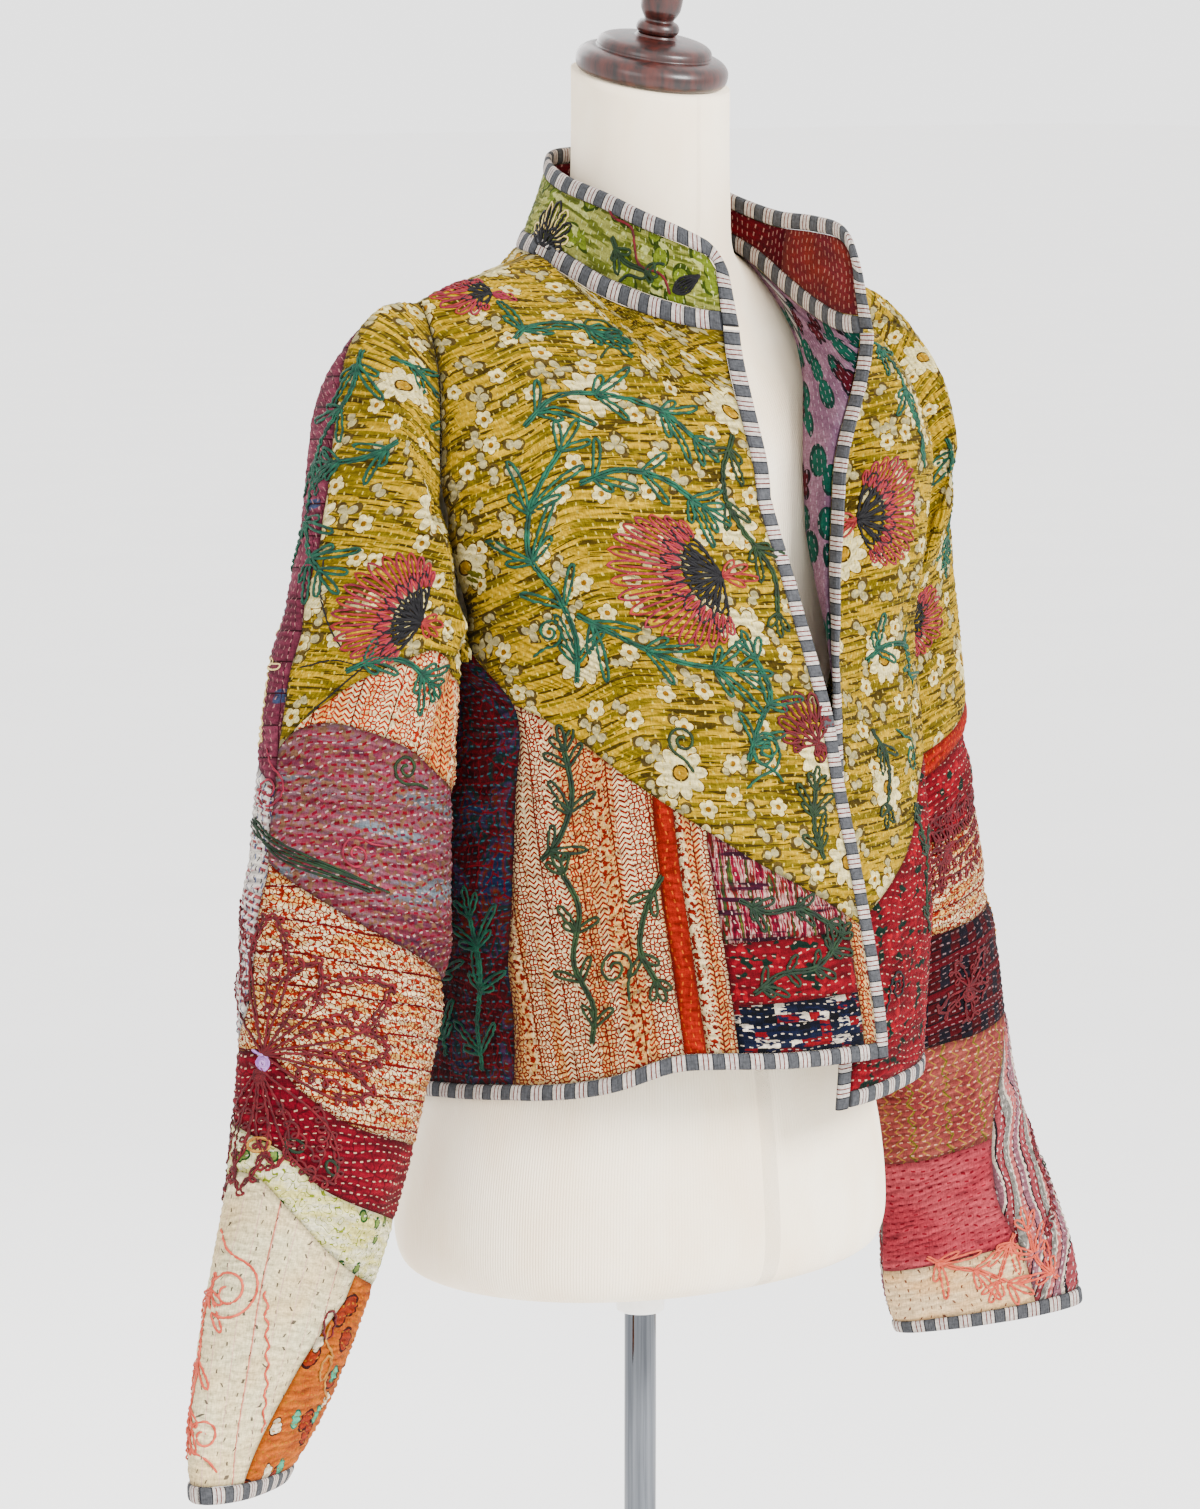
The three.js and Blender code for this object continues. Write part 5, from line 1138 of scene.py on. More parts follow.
# Cotton jersey stretched over the form: matte cream with upright ribs, 1.3 to 1.9 mm apart on the body so
# that they show, where knitted ones are about 0.6 mm apart.
JERSEY_RIBS = 500
tree, shader = made_of("cotton_jersey", ("F4DFC0", "FDEFD6"), 60, (1, 1, 2), 0.92, 0.3)
round_form = node(tree, "SeparateXYZ", node(tree, "TexCoord", out="UV"))
rib = node(tree, "Math.MULTIPLY", round_form, 2 * math.pi * JERSEY_RIBS)
rib = node(tree, "Math.SINE", rib)
shader.inputs["Sheen Weight"].default_value = 0.1
tree.links.new(node(tree, "Bump", named={"Strength": 0.5, "Distance": 0.0003, "Height": rib}, out="Normal"),
               shader.inputs["Normal"])


def thread(name, dark_tone, light_tone):
    """Soft embroidery cotton: satiny, in two near shades along its length, with the twist in relief."""
    MATERIAL["thread_" + name], tree, shader = new_material("stranded_cotton_" + name)
    mm = node(tree, "VectorMath.MULTIPLY", node(tree, "TexCoord", out="UV"), (1000, 1000, 0))
    tone = node(tree, "MixRGB", streaks(tree, mm, 9, 2, 0.35, 0.65), dark_tone, light_tone)
    tree.links.new(node(tree, "Gamma", tone, DEPTH), shader.inputs["Base Color"])
    finish(shader, tree, stripes(tree, mm, 0, 1.5, 0.5, 1.2, 1.6), 0.2, 0.66)


for name, tones in {
    "teal": ("083C30", "13604A"), "olive": ("182C14", "2A4622"), "coral": ("741C20", "A23C36"),
    "rose": ("6C1630", "962C46"), "black": ("040206", "120A18"), "cream": ("BFA66A", "E4D29C"),
    "wine": ("4C0616", "741022"), "peach": ("B04C38", "CC6C54"), "tan": ("8C5E22", "B88C44"),
    "lilac": ("8E66A2", "B892C4"), "blue": ("0A1238", "1C2858"), "green": ("12281A", "234226"),
}.items():
    thread(name, *tones)


# ---- the cloth pieces
# A seam gives the share v up a surface from the share s across the piece, and a side gives u from s and v.
def none(s):
    return 0 * s


def whole(s):
    return 0 * s + 1


BESIDE_EDGE, ABOVE_HEM = 0.96, 0.01  # where a front's and a hem's widths are taken


def edge_share(panel):
    """The share of a front that its binding covers, at each height."""
    v = np.linspace(0, 1, 81)
    share = BINDING * panel.shares(BESIDE_EDGE + 0 * v, v)[0]
    return lambda at: np.interp(at, v, share)


RIGHT_SHARE, LEFT_SHARE = edge_share(RIGHT_FRONT), edge_share(LEFT_FRONT)


def right_cloth(s, v):
    return s * (1 - RIGHT_SHARE(v))


def left_cloth(s, v):
    return s * (1 - LEFT_SHARE(v))


def hem_band(panel, across=across_whole):
    """The line one binding's width above the hem."""
    s = np.linspace(0, 1, 61)
    share = BINDING * panel.shares(across(s, 0 * s), 0 * s + ABOVE_HEM)[1]
    return lambda at: np.interp(at, s, share)


def right_at(z):
    return lambda s: rise(z, RIGHT_HEM(s))


def right_slant(s):
    return rise(RIGHT_SLANT(s), RIGHT_HEM(s))


def left_slant(s):
    return rise(LEFT_SLANT(s), LEFT_HEM(s))


def back_seam(s):
    return rise(BACK_SEAM, BACK_HEM(s))


PLAID_LOW, RED_LOW, BACK_SEAM = 968, 931, 1070  # heights of level seams
right_hem, left_hem = hem_band(RIGHT_FRONT, right_cloth), hem_band(LEFT_FRONT, left_cloth)
cloth_piece("front_right_mustard", RIGHT_FRONT, right_slant, whole, "mustard", right_cloth)
for part, fabric, spans, low, high in [
    ("front_right_brocade", "brocade", (0, 0.3), right_hem, right_slant),
    ("front_right_stripe", "orange", (0.3, 0.36), right_hem, right_slant),
    ("front_right_inset", "brocade", (0.36, 0.455), right_hem, right_slant),
    ("front_right_plaid", "plaid", (0.455, 0.94), right_at(PLAID_LOW), right_slant),
    ("front_right_red", "red", (0.455, 0.94), right_at(RED_LOW), right_at(PLAID_LOW)),
    ("front_right_check", "check", (0.455, 0.94), right_hem, right_at(RED_LOW)),
    ("front_right_edge_strip", "brocade", (0.94, 1), right_hem, right_slant),
]:
    cloth_piece(part, RIGHT_FRONT, low, high, fabric, right_cloth, ("front_right_mustard_cloth",), spans)
cloth_piece("front_left_mustard", LEFT_FRONT, left_slant, whole, "mustard", left_cloth, lining="lilac")
cloth_piece("front_left_kantha", LEFT_FRONT, left_hem, left_slant, "red", left_cloth,
            ("front_left_mustard_cloth",))

# The facing lies under the cloth beside the left front's edge, bound along its inner side. It ends at two
# of the rows into which the front above its slanting seam is divided.
FACING_FROM, FACING_BOUND_FROM, UPPER_ROWS = 0.78, 0.7, 14
FACING_LOW, FACING_HIGH = 2, 13.6
FACING_UNDER = -CLOTH - GAP - 0.2  # how far it lies under the front's face


def facing_line(row):
    return lambda s: lerp(left_slant(s), 1, row / UPPER_ROWS)


cloth_piece("facing_left", LEFT_FRONT, facing_line(FACING_LOW), facing_line(FACING_HIGH), "lilac", left_cloth,
            ("front_left_mustard_cloth",), (FACING_FROM, 1), "soft", FACING_UNDER, LAYER, "lilac")

for side, panel in (("right", RIGHT_SIDE), ("left", LEFT_SIDE)):
    cloth_piece(f"side_{side}", panel, hem_band(panel), whole, "dark", rests=(f"front_{side}_mustard_cloth",))
cloth_piece("back_mustard", BACK, back_seam, whole, "mustard")
cloth_piece("back_brocade", BACK, hem_band(BACK), back_seam, "brocade", rests=("back_mustard_cloth",))


# ---- sleeves: each divides at the overarm line into a front half and a back half
def height_at(v):
    return SLEEVE(v * SLEEVE_LENGTH, "z")


def fore(line):
    """The front half: from the overarm line over the front to the underarm."""
    return lambda s, v: lerp(line(-height_at(v)), 0.5, s)


def rear(line):
    return lambda s, v: lerp(0.5, 1 + line(-height_at(v)), s)


def along(seam):
    return lambda s: down(seam(s))


def level(z):
    return lambda s: down(z + 0 * s)


def cuff(s):
    return 0 * s + CUFF


def wedge_low(s):
    """The wedge's lower seam, which is the head's own seam before the wedge begins."""
    return down(np.where(s <= WEDGE_FROM, HEAD_LOW(s), WEDGE_LOW(s)))


def ochre_line(v):
    return OCHRE(-height_at(v))


def right_forearm(s, v):
    return right_fore(s * ochre_line(v), v)


def right_inner(s, v):
    return right_fore(lerp(ochre_line(v), 1, s), v)


CUFF = 1 - BINDING / SLEEVE_LENGTH
OCHRE_TOP, WEDGE_FROM = 0.67, 0.07
right_fore, right_rear = fore(RIGHT_OVERARM), rear(RIGHT_OVERARM)
left_fore, left_rear = fore(LEFT_OVERARM), rear(LEFT_OVERARM)
SHOULDER_PIECES = {"right": ("front_right_mustard_cloth", "back_mustard_cloth"),
                   "left": ("front_left_mustard_cloth", "back_mustard_cloth")}


def print_low(low, high):
    return lambda s: down(PRINT_LOW(lerp(low, high, s)))


def elbow_over(share):
    """A place along the overarm, as a share of the way from the head's low seam to the mauve piece's."""
    return lerp(down(HEAD_LOW(0.0)), down(MAUVE_LOW(0.0)), share)


def rear_seam(under, over):
    return lambda s: lerp(under, over, s)


KIND = {"cream": "soft", "print": "soft", "cream_left": "soft"}  # plain cottons pucker less
plum_low = rear_seam(down(WEDGE_LOW(1.0)), elbow_over(1 / 3))
dashed_low = rear_seam(down(LOOPED_LOW(1.0)), down(LOOPED_LOW(0.0)))
for part, fabric, low, high, across, spans in [
    ("mustard", "mustard", along(HEAD_LOW), none, right_fore, (0, 1)),
    ("wedge", "wedge", wedge_low, along(HEAD_LOW), right_fore, (WEDGE_FROM, 1)),
    ("mauve", "mauve", along(MAUVE_LOW), wedge_low, right_fore, (0, 1)),
    ("looped", "looped", along(LOOPED_LOW), along(MAUVE_LOW), right_fore, (0, 1)),
    ("crimson", "crimson", along(CRIMSON_LOW), along(LOOPED_LOW), right_fore, (0, 1)),
    ("print", "print", along(PRINT_LOW), along(CRIMSON_LOW), right_fore, (0, 1)),
    ("cream", "cream", cuff, print_low(0, OCHRE_TOP), right_forearm, (0, 1)),
    ("ochre", "ochre", cuff, print_low(OCHRE_TOP, 1), right_inner, (0, 1)),
    ("plum", "plum", plum_low, none, right_rear, (0, 1)),
    ("dashed", "dashed", dashed_low, plum_low, right_rear, (0, 1)),
    ("rear", "plum", cuff, dashed_low, right_rear, (0, 1)),
]:
    cloth_piece(f"sleeve_right_{part}", RIGHT_SLEEVE, high, low, fabric, across, SHOULDER_PIECES["right"],
                spans, KIND.get(fabric, "kantha"))

# The left sleeve's patches meet at level seams, each given by the height of the middle line there.
head_low, orange_low, red_low, looped_low, check_low, coral_low, pink_low = (
    level(z) for z in (1052, 1036, 988, 924, 850, 775, 697))
for part, fabric, low, high, across in [
    ("mustard", "mustard", head_low, none, left_fore),
    ("orange", "orange", orange_low, head_low, left_fore),
    ("dark_red", "red", red_low, orange_low, left_fore),
    ("looped", "looped", looped_low, red_low, left_fore),
    ("check", "dark_check", check_low, looped_low, left_fore),
    ("coral", "coral", coral_low, check_low, left_fore),
    ("pink", "pink", pink_low, coral_low, left_fore),
    ("cream", "cream_left", cuff, pink_low, left_fore),
    ("rear_head", "mustard", orange_low, none, left_rear),
    ("navy", "check", check_low, orange_low, left_rear),
    ("striped", "striped", cuff, check_low, left_rear),
]:
    cloth_piece(f"sleeve_left_{part}", LEFT_SLEEVE, high, low, fabric, across, SHOULDER_PIECES["left"],
                kind=KIND.get(fabric, "kantha"))


# ---- collar, in millimetres along the neckline and up the stand
def binding_line(length):
    return 0 * length + BINDING


def above_left(s):
    """Where along the collar a column of the left front meets it."""
    u = 1 - NECK_TURN * (1 - left_cloth(s, 1.0)) / (1 - NECK_POINT)
    return float(np.interp(u, measure, runs))


SPLIT = above_left(FACING_FROM)
for part, fabric, spans, lift in [
    ("collar_outer", "lime", (BINDING, COLLAR_LENGTH - BINDING), 0.0),
    ("collar_lining_back", "maroon", (BINDING, SPLIT), -LAYER - GAP),
    ("collar_lining_left", "rose", (SPLIT, COLLAR_LENGTH - BINDING), -LAYER - GAP),
]:
    cloth_piece(part, COLLAR, binding_line, cloth_top, fabric, rests=SHOULDER_PIECES["right"], spans=spans,
                kind="soft", lift=lift, thick=LAYER, lining=fabric)


# ---- bindings
def path_on(panel, edge, within):
    """Edge points, inner points and outward normals of a binding on one surface."""
    return panel.at(*edge), panel.at(*within), panel.normal(*edge)


TAPE_STEP = 2.2  # millimetres between the rings of a binding
EDGE_LENGTH, FACING_LENGTH, CUFF_LENGTH = 480, 300, 340  # about how long each binding is, to divide it


def steps_along(length):
    return np.linspace(0, 1, math.ceil(length / TAPE_STEP) + 1)


for side, panel, share in (("right", RIGHT_FRONT, RIGHT_SHARE), ("left", LEFT_FRONT, LEFT_SHARE)):
    v = steps_along(EDGE_LENGTH)
    parts = path_on(panel, (whole(v), v), (1 - share(v) * (1 - SEAM / BINDING), v))
    tape(f"binding_front_{side}", *parts, f"front_{side}_mustard", flip=side == "right")

v = steps_along(FACING_LENGTH)
s = 0 * v + FACING_BOUND_FROM
line = lerp(facing_line(FACING_LOW)(s), facing_line(FACING_HIGH)(s), v)
parts = path_on(LEFT_FRONT, (left_cloth(s, line), line), (left_cloth(0 * s + FACING_FROM, line), line))
tape("binding_facing", *parts, "facing_left", thick=LAYER + PROUD, lift=-CLOTH - GAP)

# The hem's binding runs from the right front round the back to the left front. Each stretch has about its
# own length, and keeps just off its ends, where two panels' edges meet.
HEM_END = 0.003
hem = []
for panel, across, length, backwards in [
    (RIGHT_FRONT, right_cloth, 230, True), (RIGHT_SIDE, across_whole, 130, False),
    (BACK, across_whole, 350, False), (LEFT_SIDE, across_whole, 130, True),
    (LEFT_FRONT, left_cloth, 230, False),
]:
    s = steps_along(length)[:-1]
    s = np.clip(1 - s if backwards else s, HEM_END, 1 - HEM_END)
    u, band = across(s, 0 * s), hem_band(panel, across)(s) * (1 - SEAM / BINDING)
    hem.append(path_on(panel, (u, 0 * s), (across(s, band), band)))
hem = [np.concatenate(part) for part in zip(*hem)]
tape("binding_hem", *hem, "back_brocade")

for side, panel in (("right", RIGHT_SLEEVE), ("left", LEFT_SLEEVE)):
    u = steps_along(CUFF_LENGTH)[:-1]
    band = CUFF + SEAM / SLEEVE_LENGTH
    parts = path_on(panel, (u, whole(u)), (u, 0 * u + band))
    owner = "sleeve_right_rear" if side == "right" else "sleeve_left_striped"
    tape(f"binding_cuff_{side}", *parts, owner, closed=True, flip=side == "right")

# The collar's binding goes up the right end, round the corner, along the top and down the left end.
END_LIFT, SEAM_LAP = 1.6, 1.6  # how far it starts above the neckline, and the seam's binding laps under it
RISE_RINGS, CORNER_RINGS, TOP_RINGS = 12, 14, 190


def collar_path():
    """The binding's outer and inner line, each as lengths along the neckline and heights up the stand."""
    inside = BINDING - SEAM
    rising, turning = np.linspace(0, 1, RISE_RINGS)[:-1], np.linspace(0, math.pi / 2, CORNER_RINGS)
    start = lerp(END_LIFT, stand_height(np.array(0.0)) - COLLAR_CORNER, rising)

    def corner(radius):
        length = COLLAR_CORNER - radius * np.cos(turning)
        return length, stand_height(length) - COLLAR_CORNER + radius * np.sin(turning)

    top = np.linspace(COLLAR_CORNER, COLLAR_LENGTH - COLLAR_CORNER, TOP_RINGS)[1:-1]
    ways = []
    for r, up_at in ((COLLAR_CORNER, 0.0), (COLLAR_CORNER - inside, inside)):
        length, height = corner(r)
        last = COLLAR_LENGTH - length[::-1]
        far = stand_height(last) - COLLAR_CORNER + r * np.sin(turning[::-1])
        finish = lerp(END_LIFT, float(stand_height(np.array(COLLAR_LENGTH))) - COLLAR_CORNER, rising[::-1])
        ways.append((
            np.concatenate([0 * rising + up_at, length, top, last, 0 * rising + COLLAR_LENGTH - up_at]),
            np.concatenate([start, height, stand_height(top) - up_at, far, finish]),
        ))
    return ways


tape("binding_collar", *path_on(COLLAR, *collar_path()), "collar_outer", flip=True)
length = np.linspace(BINDING, COLLAR_LENGTH - BINDING, TOP_RINGS)
parts = path_on(COLLAR, (length, 0 * length - SEAM_LAP), (length, 0 * length + BINDING - SEAM))
tape("binding_collar_seam", *parts, "collar_outer")


# ---- dress form and stand
FORM_FULLNESS = 2.1  # exponent of the torso's plan section
TORSO_ROWS, TORSO_SIDES = 132, 96


def fuller(value):
    """A sine or cosine to the power that makes its ellipse a superellipse."""
    return np.sign(value) * np.abs(value) ** (2 / FORM_FULLNESS)


def turned(name, part, rings, material, pole_low, pole_high):
    """A closed body from rings of points, low to high, with a point at each end."""
    count, sides = rings.shape[:2]
    ids = np.arange(count * sides).reshape(count, sides)
    here, after = ids[:-1], ids[1:]
    quads = np.stack([here, np.roll(here, -1, 1), np.roll(after, -1, 1), after], -1).reshape(-1, 4)
    low = np.stack([np.full(sides, count * sides), np.roll(ids[0], -1), ids[0]], 1)
    high = np.stack([np.full(sides, count * sides + 1), ids[-1], np.roll(ids[-1], -1)], 1)
    place = np.concatenate([rings.reshape(-1, 3), [pole_low, pole_high]])
    run = np.pad(np.cumsum(np.linalg.norm(np.diff(rings, axis=0), axis=-1), 0), ((1, 0), (0, 0)))
    around = np.broadcast_to(np.arange(sides) / sides * 1000, (count, sides))
    uv = np.concatenate([np.stack([around, run], -1).reshape(-1, 2), [[0, 0], [0, run.max()]]])
    piece = put_mesh(name, place, [quads, low, high], uv, [MATERIAL[material]])
    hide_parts(part)


# The torso's rings are superellipses of the table's half width and depths. Each rises from its height at the
# sides to another in front and behind.
row, angle = np.linspace(0, 22, TORSO_ROWS + 1), np.linspace(0, 2 * math.pi, TORSO_SIDES + 1)[:-1]
row, angle = np.meshgrid(row, angle, indexing="ij")
forward = np.cos(angle) > 0
reach = np.where(forward, FORM(row, "front"), FORM(row, "back"))
peak = np.where(forward, FORM(row, "fore"), FORM(row, "aft"))
torso = points(
    FORM(row, "half") * fuller(np.sin(angle)),
    FORM(row, "middle") - reach * fuller(np.cos(angle)),
    lerp(FORM(row, "side"), peak, np.abs(fuller(np.cos(angle)))),
)
turned("form_torso_cover", "form_torso", torso, "cotton_jersey", torso[0].mean(0), torso[-1].mean(0))


AXIS_HOLE = 0.05  # least radius of a turned profile, closed by its poles


def lathe(name, part, profile, material, sides, base, nod=0.0):
    """A profile of radius and height, rounded through its points, turned about an axis that nods forward
    from base. Each stretch between two rows is cut in four short steps."""
    profile = np.array(profile, float)
    span = np.pad(np.cumsum(np.linalg.norm(np.diff(profile, axis=0), axis=1)), (1, 0))
    at = np.unique(np.concatenate([np.linspace(a, b, 5) for a, b in zip(span[:-1], span[1:])]))
    radius = table("t r", np.column_stack([span, profile[:, 0]]))(at)
    height = np.clip(table("t h", np.column_stack([span, profile[:, 1]]))(at), *profile[[0, -1], 1])
    radius = np.maximum(radius, AXIS_HOLE)
    around = np.linspace(0, 2 * math.pi, sides + 1)[:-1]
    across = radius[:, None] * np.cos(around)
    rings = points(across, radius[:, None] * np.sin(around), height[:, None])
    c, s = math.cos(nod), math.sin(nod)
    tilt = np.array([[1, 0, 0], [0, c, -s], [0, s, c]])
    rings = rings @ tilt.T + base
    ends = [np.array([0, 0, h]) @ tilt.T + base for h in (height[0], height[-1])]
    turned(name, part, rings, material, *ends)


NOD = math.atan2(22, 94)  # the neck's top, 94 mm deep, is 22 mm higher behind than in front
NECK_TOP = np.array([0, -8, 1468.6])
CAP_HEIGHT = 27
lathe("neck_cap_wood", "neck_cap", [
    (0.1, 0), (38, 0), (43, 0.2), (45.5, 2), (46.5, 6), (46, 10), (43, 13.5), (38, 15.5), (35.6, 15.9),
    (35, 16.6), (35, 18), (34, 20.5), (31, 22.5), (24, 24), (14, 24.8), (12.6, 25.4), (12, 26.6), (10, 27),
    (0.1, 27),
], "turned_mahogany", 96, NECK_TOP, NOD)
lathe("finial_wood", "finial", [
    (0.1, 0), (9, 0), (12, 0.3), (13.2, 3), (12, 6), (9, 8), (10.5, 11), (12.2, 15), (13, 26), (15.5, 40),
    (19, 54), (21, 66), (20, 78), (15, 88), (8.5, 94), (7, 97), (9.5, 101), (10.5, 106), (9, 112), (5, 116),
    (2, 117.3), (0.1, 117.5),
], "turned_mahogany", 72, NECK_TOP + (CAP_HEIGHT + GAP) * np.array([0, -math.sin(NOD), math.cos(NOD)]), NOD)
origin = np.zeros(3)
lathe("stand_base_plate", "stand_base", [
    (0.1, 0), (150, 0), (173, 0), (175, 2), (175, 7), (174, 8.6), (171, 10), (120, 12.6), (60, 16), (30, 20),
    (22, 24), (20.3, 30), (20, 33), (19, 34), (12, 34), (0.1, 34),
], "enamelled_steel", 128, origin)
lathe("stand_pole_tube", "stand_pole", [
    (0.1, 34.3), (9, 34.3), (10, 35.3), (10, 120), (10, 400), (10, 701), (9, 702), (0.1, 702),
], "chromed_steel", 48, origin)
lathe("stand_socket_collar", "stand_socket", [
    (0.1, 702.3), (12, 702.3), (14, 702.5), (15, 703.8), (15, 720), (15, 737.5), (14.6, 738.4), (13.6, 738.7),
    (0.1, 738.7),
], "enamelled_steel", 64, origin)


# ---- embroidery
# Hand-laid chain-stitch cords, worked out flat in millimetres about a place on the cloth and then laid on it.
CORD_STEP, CORD_SIDES, CORD_WIDE, CORD_HIGH = 1.5, 5, 1.05, 0.66  # its rings' spacing, sides and half sizes
# Threads that are finer than the rest, as a share of its size.
THIN = {"coral": 0.78, "rose": 0.78, "black": 0.92, "wine": 0.92, "cream": 0.55, "peach": 0.85}
CORDS = {}  # what has been laid so far, by area and colour: each cord's points, normals and thickness


def resampled(path, step=CORD_STEP):
    """The same line with points at even steps."""
    run = np.pad(np.cumsum(np.linalg.norm(np.diff(path, axis=0), axis=1)), (1, 0))
    at = np.linspace(0, run[-1], max(3, math.ceil(run[-1] / step) + 1))
    return np.stack([np.interp(at, run, path[:, 0]), np.interp(at, run, path[:, 1])], -1)


def rotated(path, degrees, at=(0, 0)):
    a = math.radians(degrees)
    return path @ np.array([[math.cos(a), math.sin(a)], [-math.sin(a), math.cos(a)]]) + at


def curve(*knots):
    """A smooth line through given points."""
    knots = np.array(knots, float)
    slope = np.gradient(knots, axis=0)
    t = np.linspace(0, 1, 10, endpoint=False)[:, None]
    a, b, start, end = knots[:-1, None], knots[1:, None], slope[:-1, None], slope[1:, None]
    line = lerp(a, b, smooth(t)) + start * t * (1 - t) ** 2 - end * t * t * (1 - t)
    return np.concatenate([line.reshape(-1, 2), knots[-1:]])


def loop(length, width, turn=0.0, at=(0, 0), bend=0.0, blunt=0.75):
    """A long loop out from a point and back, widest past its middle, bent to one side."""
    t = np.linspace(0, 1, 13)
    side, middle = 0.5 * width * np.sin(math.pi * t**1.5) ** blunt, bend * length * t * t
    out, home = np.stack([length * t, middle + side], -1), np.stack([length * t, middle - side], -1)
    return rotated(np.concatenate([out, home[-2::-1]]), turn, at)


def tendril(colour, radius, turn=0.0, turns=1.6, hand=1, at=(0, 0)):
    """A thread that leads off and then curls in on itself."""
    t = np.linspace(0, 1, 40)
    angle, r = 2 * math.pi * turns * t - math.pi / 2, radius * (1 - 0.84 * t)
    path = np.stack([r * np.cos(angle), hand * (radius + r * np.sin(angle))], -1)
    lead = curve((-1.5 * radius, -0.5 * radius * hand), (-0.7 * radius, -0.1 * radius * hand), (0, 0))
    return [(colour, rotated(np.concatenate([lead[:-1], path]), turn, at))]


def finger(colour, length, turn, at, bend=0.0):
    """A slim blunt leaf: a closed loop so narrow that its two sides lie together."""
    return (colour, loop(length, 3.8, turn, at, bend, 0.3))


def sprig(colour, *knots, leaf=30, every=34, seed=1):
    """A doubled stem from its foot through given points, with pairs of finger-like leaves at uneven
    distances."""
    chance = np.random.default_rng(seed)
    stem = resampled(curve((0, 0), *knots), 1.0)
    ways = unit(np.gradient(stem, axis=0))
    aside = 0.85 * ways[:, ::-1] * [-1, 1]
    paths, run = [(colour, stem + aside), (colour, stem - aside)], 0.35 * every
    while run < len(stem) - 6:
        at, way = stem[int(run)], math.degrees(math.atan2(*ways[int(run)][::-1]))
        for side in (-1, 1):
            length, spread = leaf * chance.uniform(0.85, 1.45), chance.uniform(24, 46)
            paths.append(finger(colour, length, way + side * spread, at, 0.2 * side * chance.uniform(0, 1)))
            if length > 1.1 * leaf:
                paths.append(finger(colour, 0.5 * length, way + side * (spread + 26), at))
        run += every * chance.uniform(0.8, 1.2)
    end = math.degrees(math.atan2(*ways[-1][::-1]))
    return paths + [finger(colour, share * leaf, end + spread, stem[-1])
                    for share, spread in ((0.9, 0), (0.7, 34), (0.75, -36))]


PETAL_SPREAD, CALYX_SPREAD = 72, 60  # degrees to each side


def blossom(radius, flesh=("coral", "rose"), heart="black", petals=18):
    """A flower from the side that opens towards +x: a fan of narrow loops whose tips lie on a circle
    through its foot, over a wide dark calyx of nested loops, and a small tuft behind."""
    paths, foot = [], 0.72 * radius
    for number, turn in enumerate(np.linspace(-PETAL_SPREAD, PETAL_SPREAD, petals)):
        a = math.radians(turn)
        reach = 2 * radius * math.cos(0.8 * a) - foot
        at = (foot * math.cos(a), foot * math.sin(a))
        width = 0.86 * (foot + 0.8 * reach) * math.radians(2 * PETAL_SPREAD / petals)
        paths.append((flesh[number % 2], loop(reach, width, turn, at, blunt=0.5)))
        paths.append((flesh[1 - number % 2], rotated(curve((0, 0), (0.85 * reach, 0)), turn, at)))
    reach = 1.08 * radius
    for turn in np.linspace(-CALYX_SPREAD, CALYX_SPREAD, max(4, petals * 4 // 9)):
        paths += [(heart, loop(reach * share, 0.27 * reach * share, turn)) for share in (1, 0.66)]
    for turn, share in ((146, 0.46), (166, 0.7), (188, 0.6), (210, 0.42)):
        paths.append((flesh[0], loop(radius * share, 4.0, turn, blunt=0.5)))
    return paths


LOOP_STEP = 0.35


def looping(line, radius, every):
    """Small loops strung along a line, one to every so many millimetres."""
    line = resampled(line, LOOP_STEP)
    angle = 2 * math.pi * LOOP_STEP * np.arange(len(line))[:, None] / every
    way = unit(np.gradient(line, axis=0))
    return line + radius * (way * np.sin(angle) + way[:, ::-1] * [-1, 1] * (1 - np.cos(angle)))


def lace(colour, radius, turns, heart="lilac"):
    """An open flower of looped thread: outlined petals rimmed with strings of small loops."""
    paths = []
    for number, turn in enumerate(turns):
        reach = radius * (1 - 0.14 * (number % 3))
        paths.append((colour, loop(reach, 0.32 * reach, turn)))
        petal = resampled(loop(0.97 * reach, 0.25 * reach, turn), 1.0)
        tip = slice(len(petal) // 3, -len(petal) // 3)
        paths.append((colour, looping(petal[tip], 3.0, 7.2)))
        paths.append((colour, looping(rotated(curve((0.3 * reach, 0), (0.72 * reach, 1.5)), turn), 3.2, 8.4)))
    return paths + tendril(heart, 5.0, 0, 3.4)


def ring(colour, wide, tall, turn=0.0, at=(0, 0)):
    """An ellipse with those half widths."""
    t = np.linspace(0, 2 * math.pi, 25)
    return [(colour, rotated(np.stack([wide * np.cos(t), tall * np.sin(t)], -1), turn, at))]


def plain(colour, *knots):
    return [(colour, curve(*knots))]


def wavy(colour, length, reach, period):
    """A sine wave that reaches so far to each side."""
    x = np.arange(0, length, 1.0)
    return [(colour, np.stack([x, reach * np.sin(2 * math.pi * x / period)], -1))]


def lay(area, panel, u, v, turn, motif, kind="kantha", thin=1.0):
    """Lays a motif's cords on the cloth, turned about the place with the given u and v."""
    paths = [resampled(rotated(path, turn)) for _, path in motif]
    at = panel.find(np.concatenate(paths), u, v)
    place, normal, flat = panel.at(*at), panel.normal(*at), panel.flat(*at)
    high = waves(place) + ribs(flat[..., 0], flat[..., 1], kind) + 0.5 * CORD_HIGH
    place = place + high[..., None] * normal
    stops = np.cumsum([len(path) for path in paths])[:-1]
    for (colour, _), spots, normals in zip(motif, np.split(place, stops), np.split(normal, stops)):
        CORDS.setdefault((area, colour), []).append((spots, normals, thin * THIN.get(colour, 1.0)))


LINK_RINGS, LINK_WAIST, CORD_TIP = 3, 0.8, 0.5  # a link's rings, and the shares of size at waists and tips
CORD_GIRTH = 0.9  # millimetres from side to side round a cord


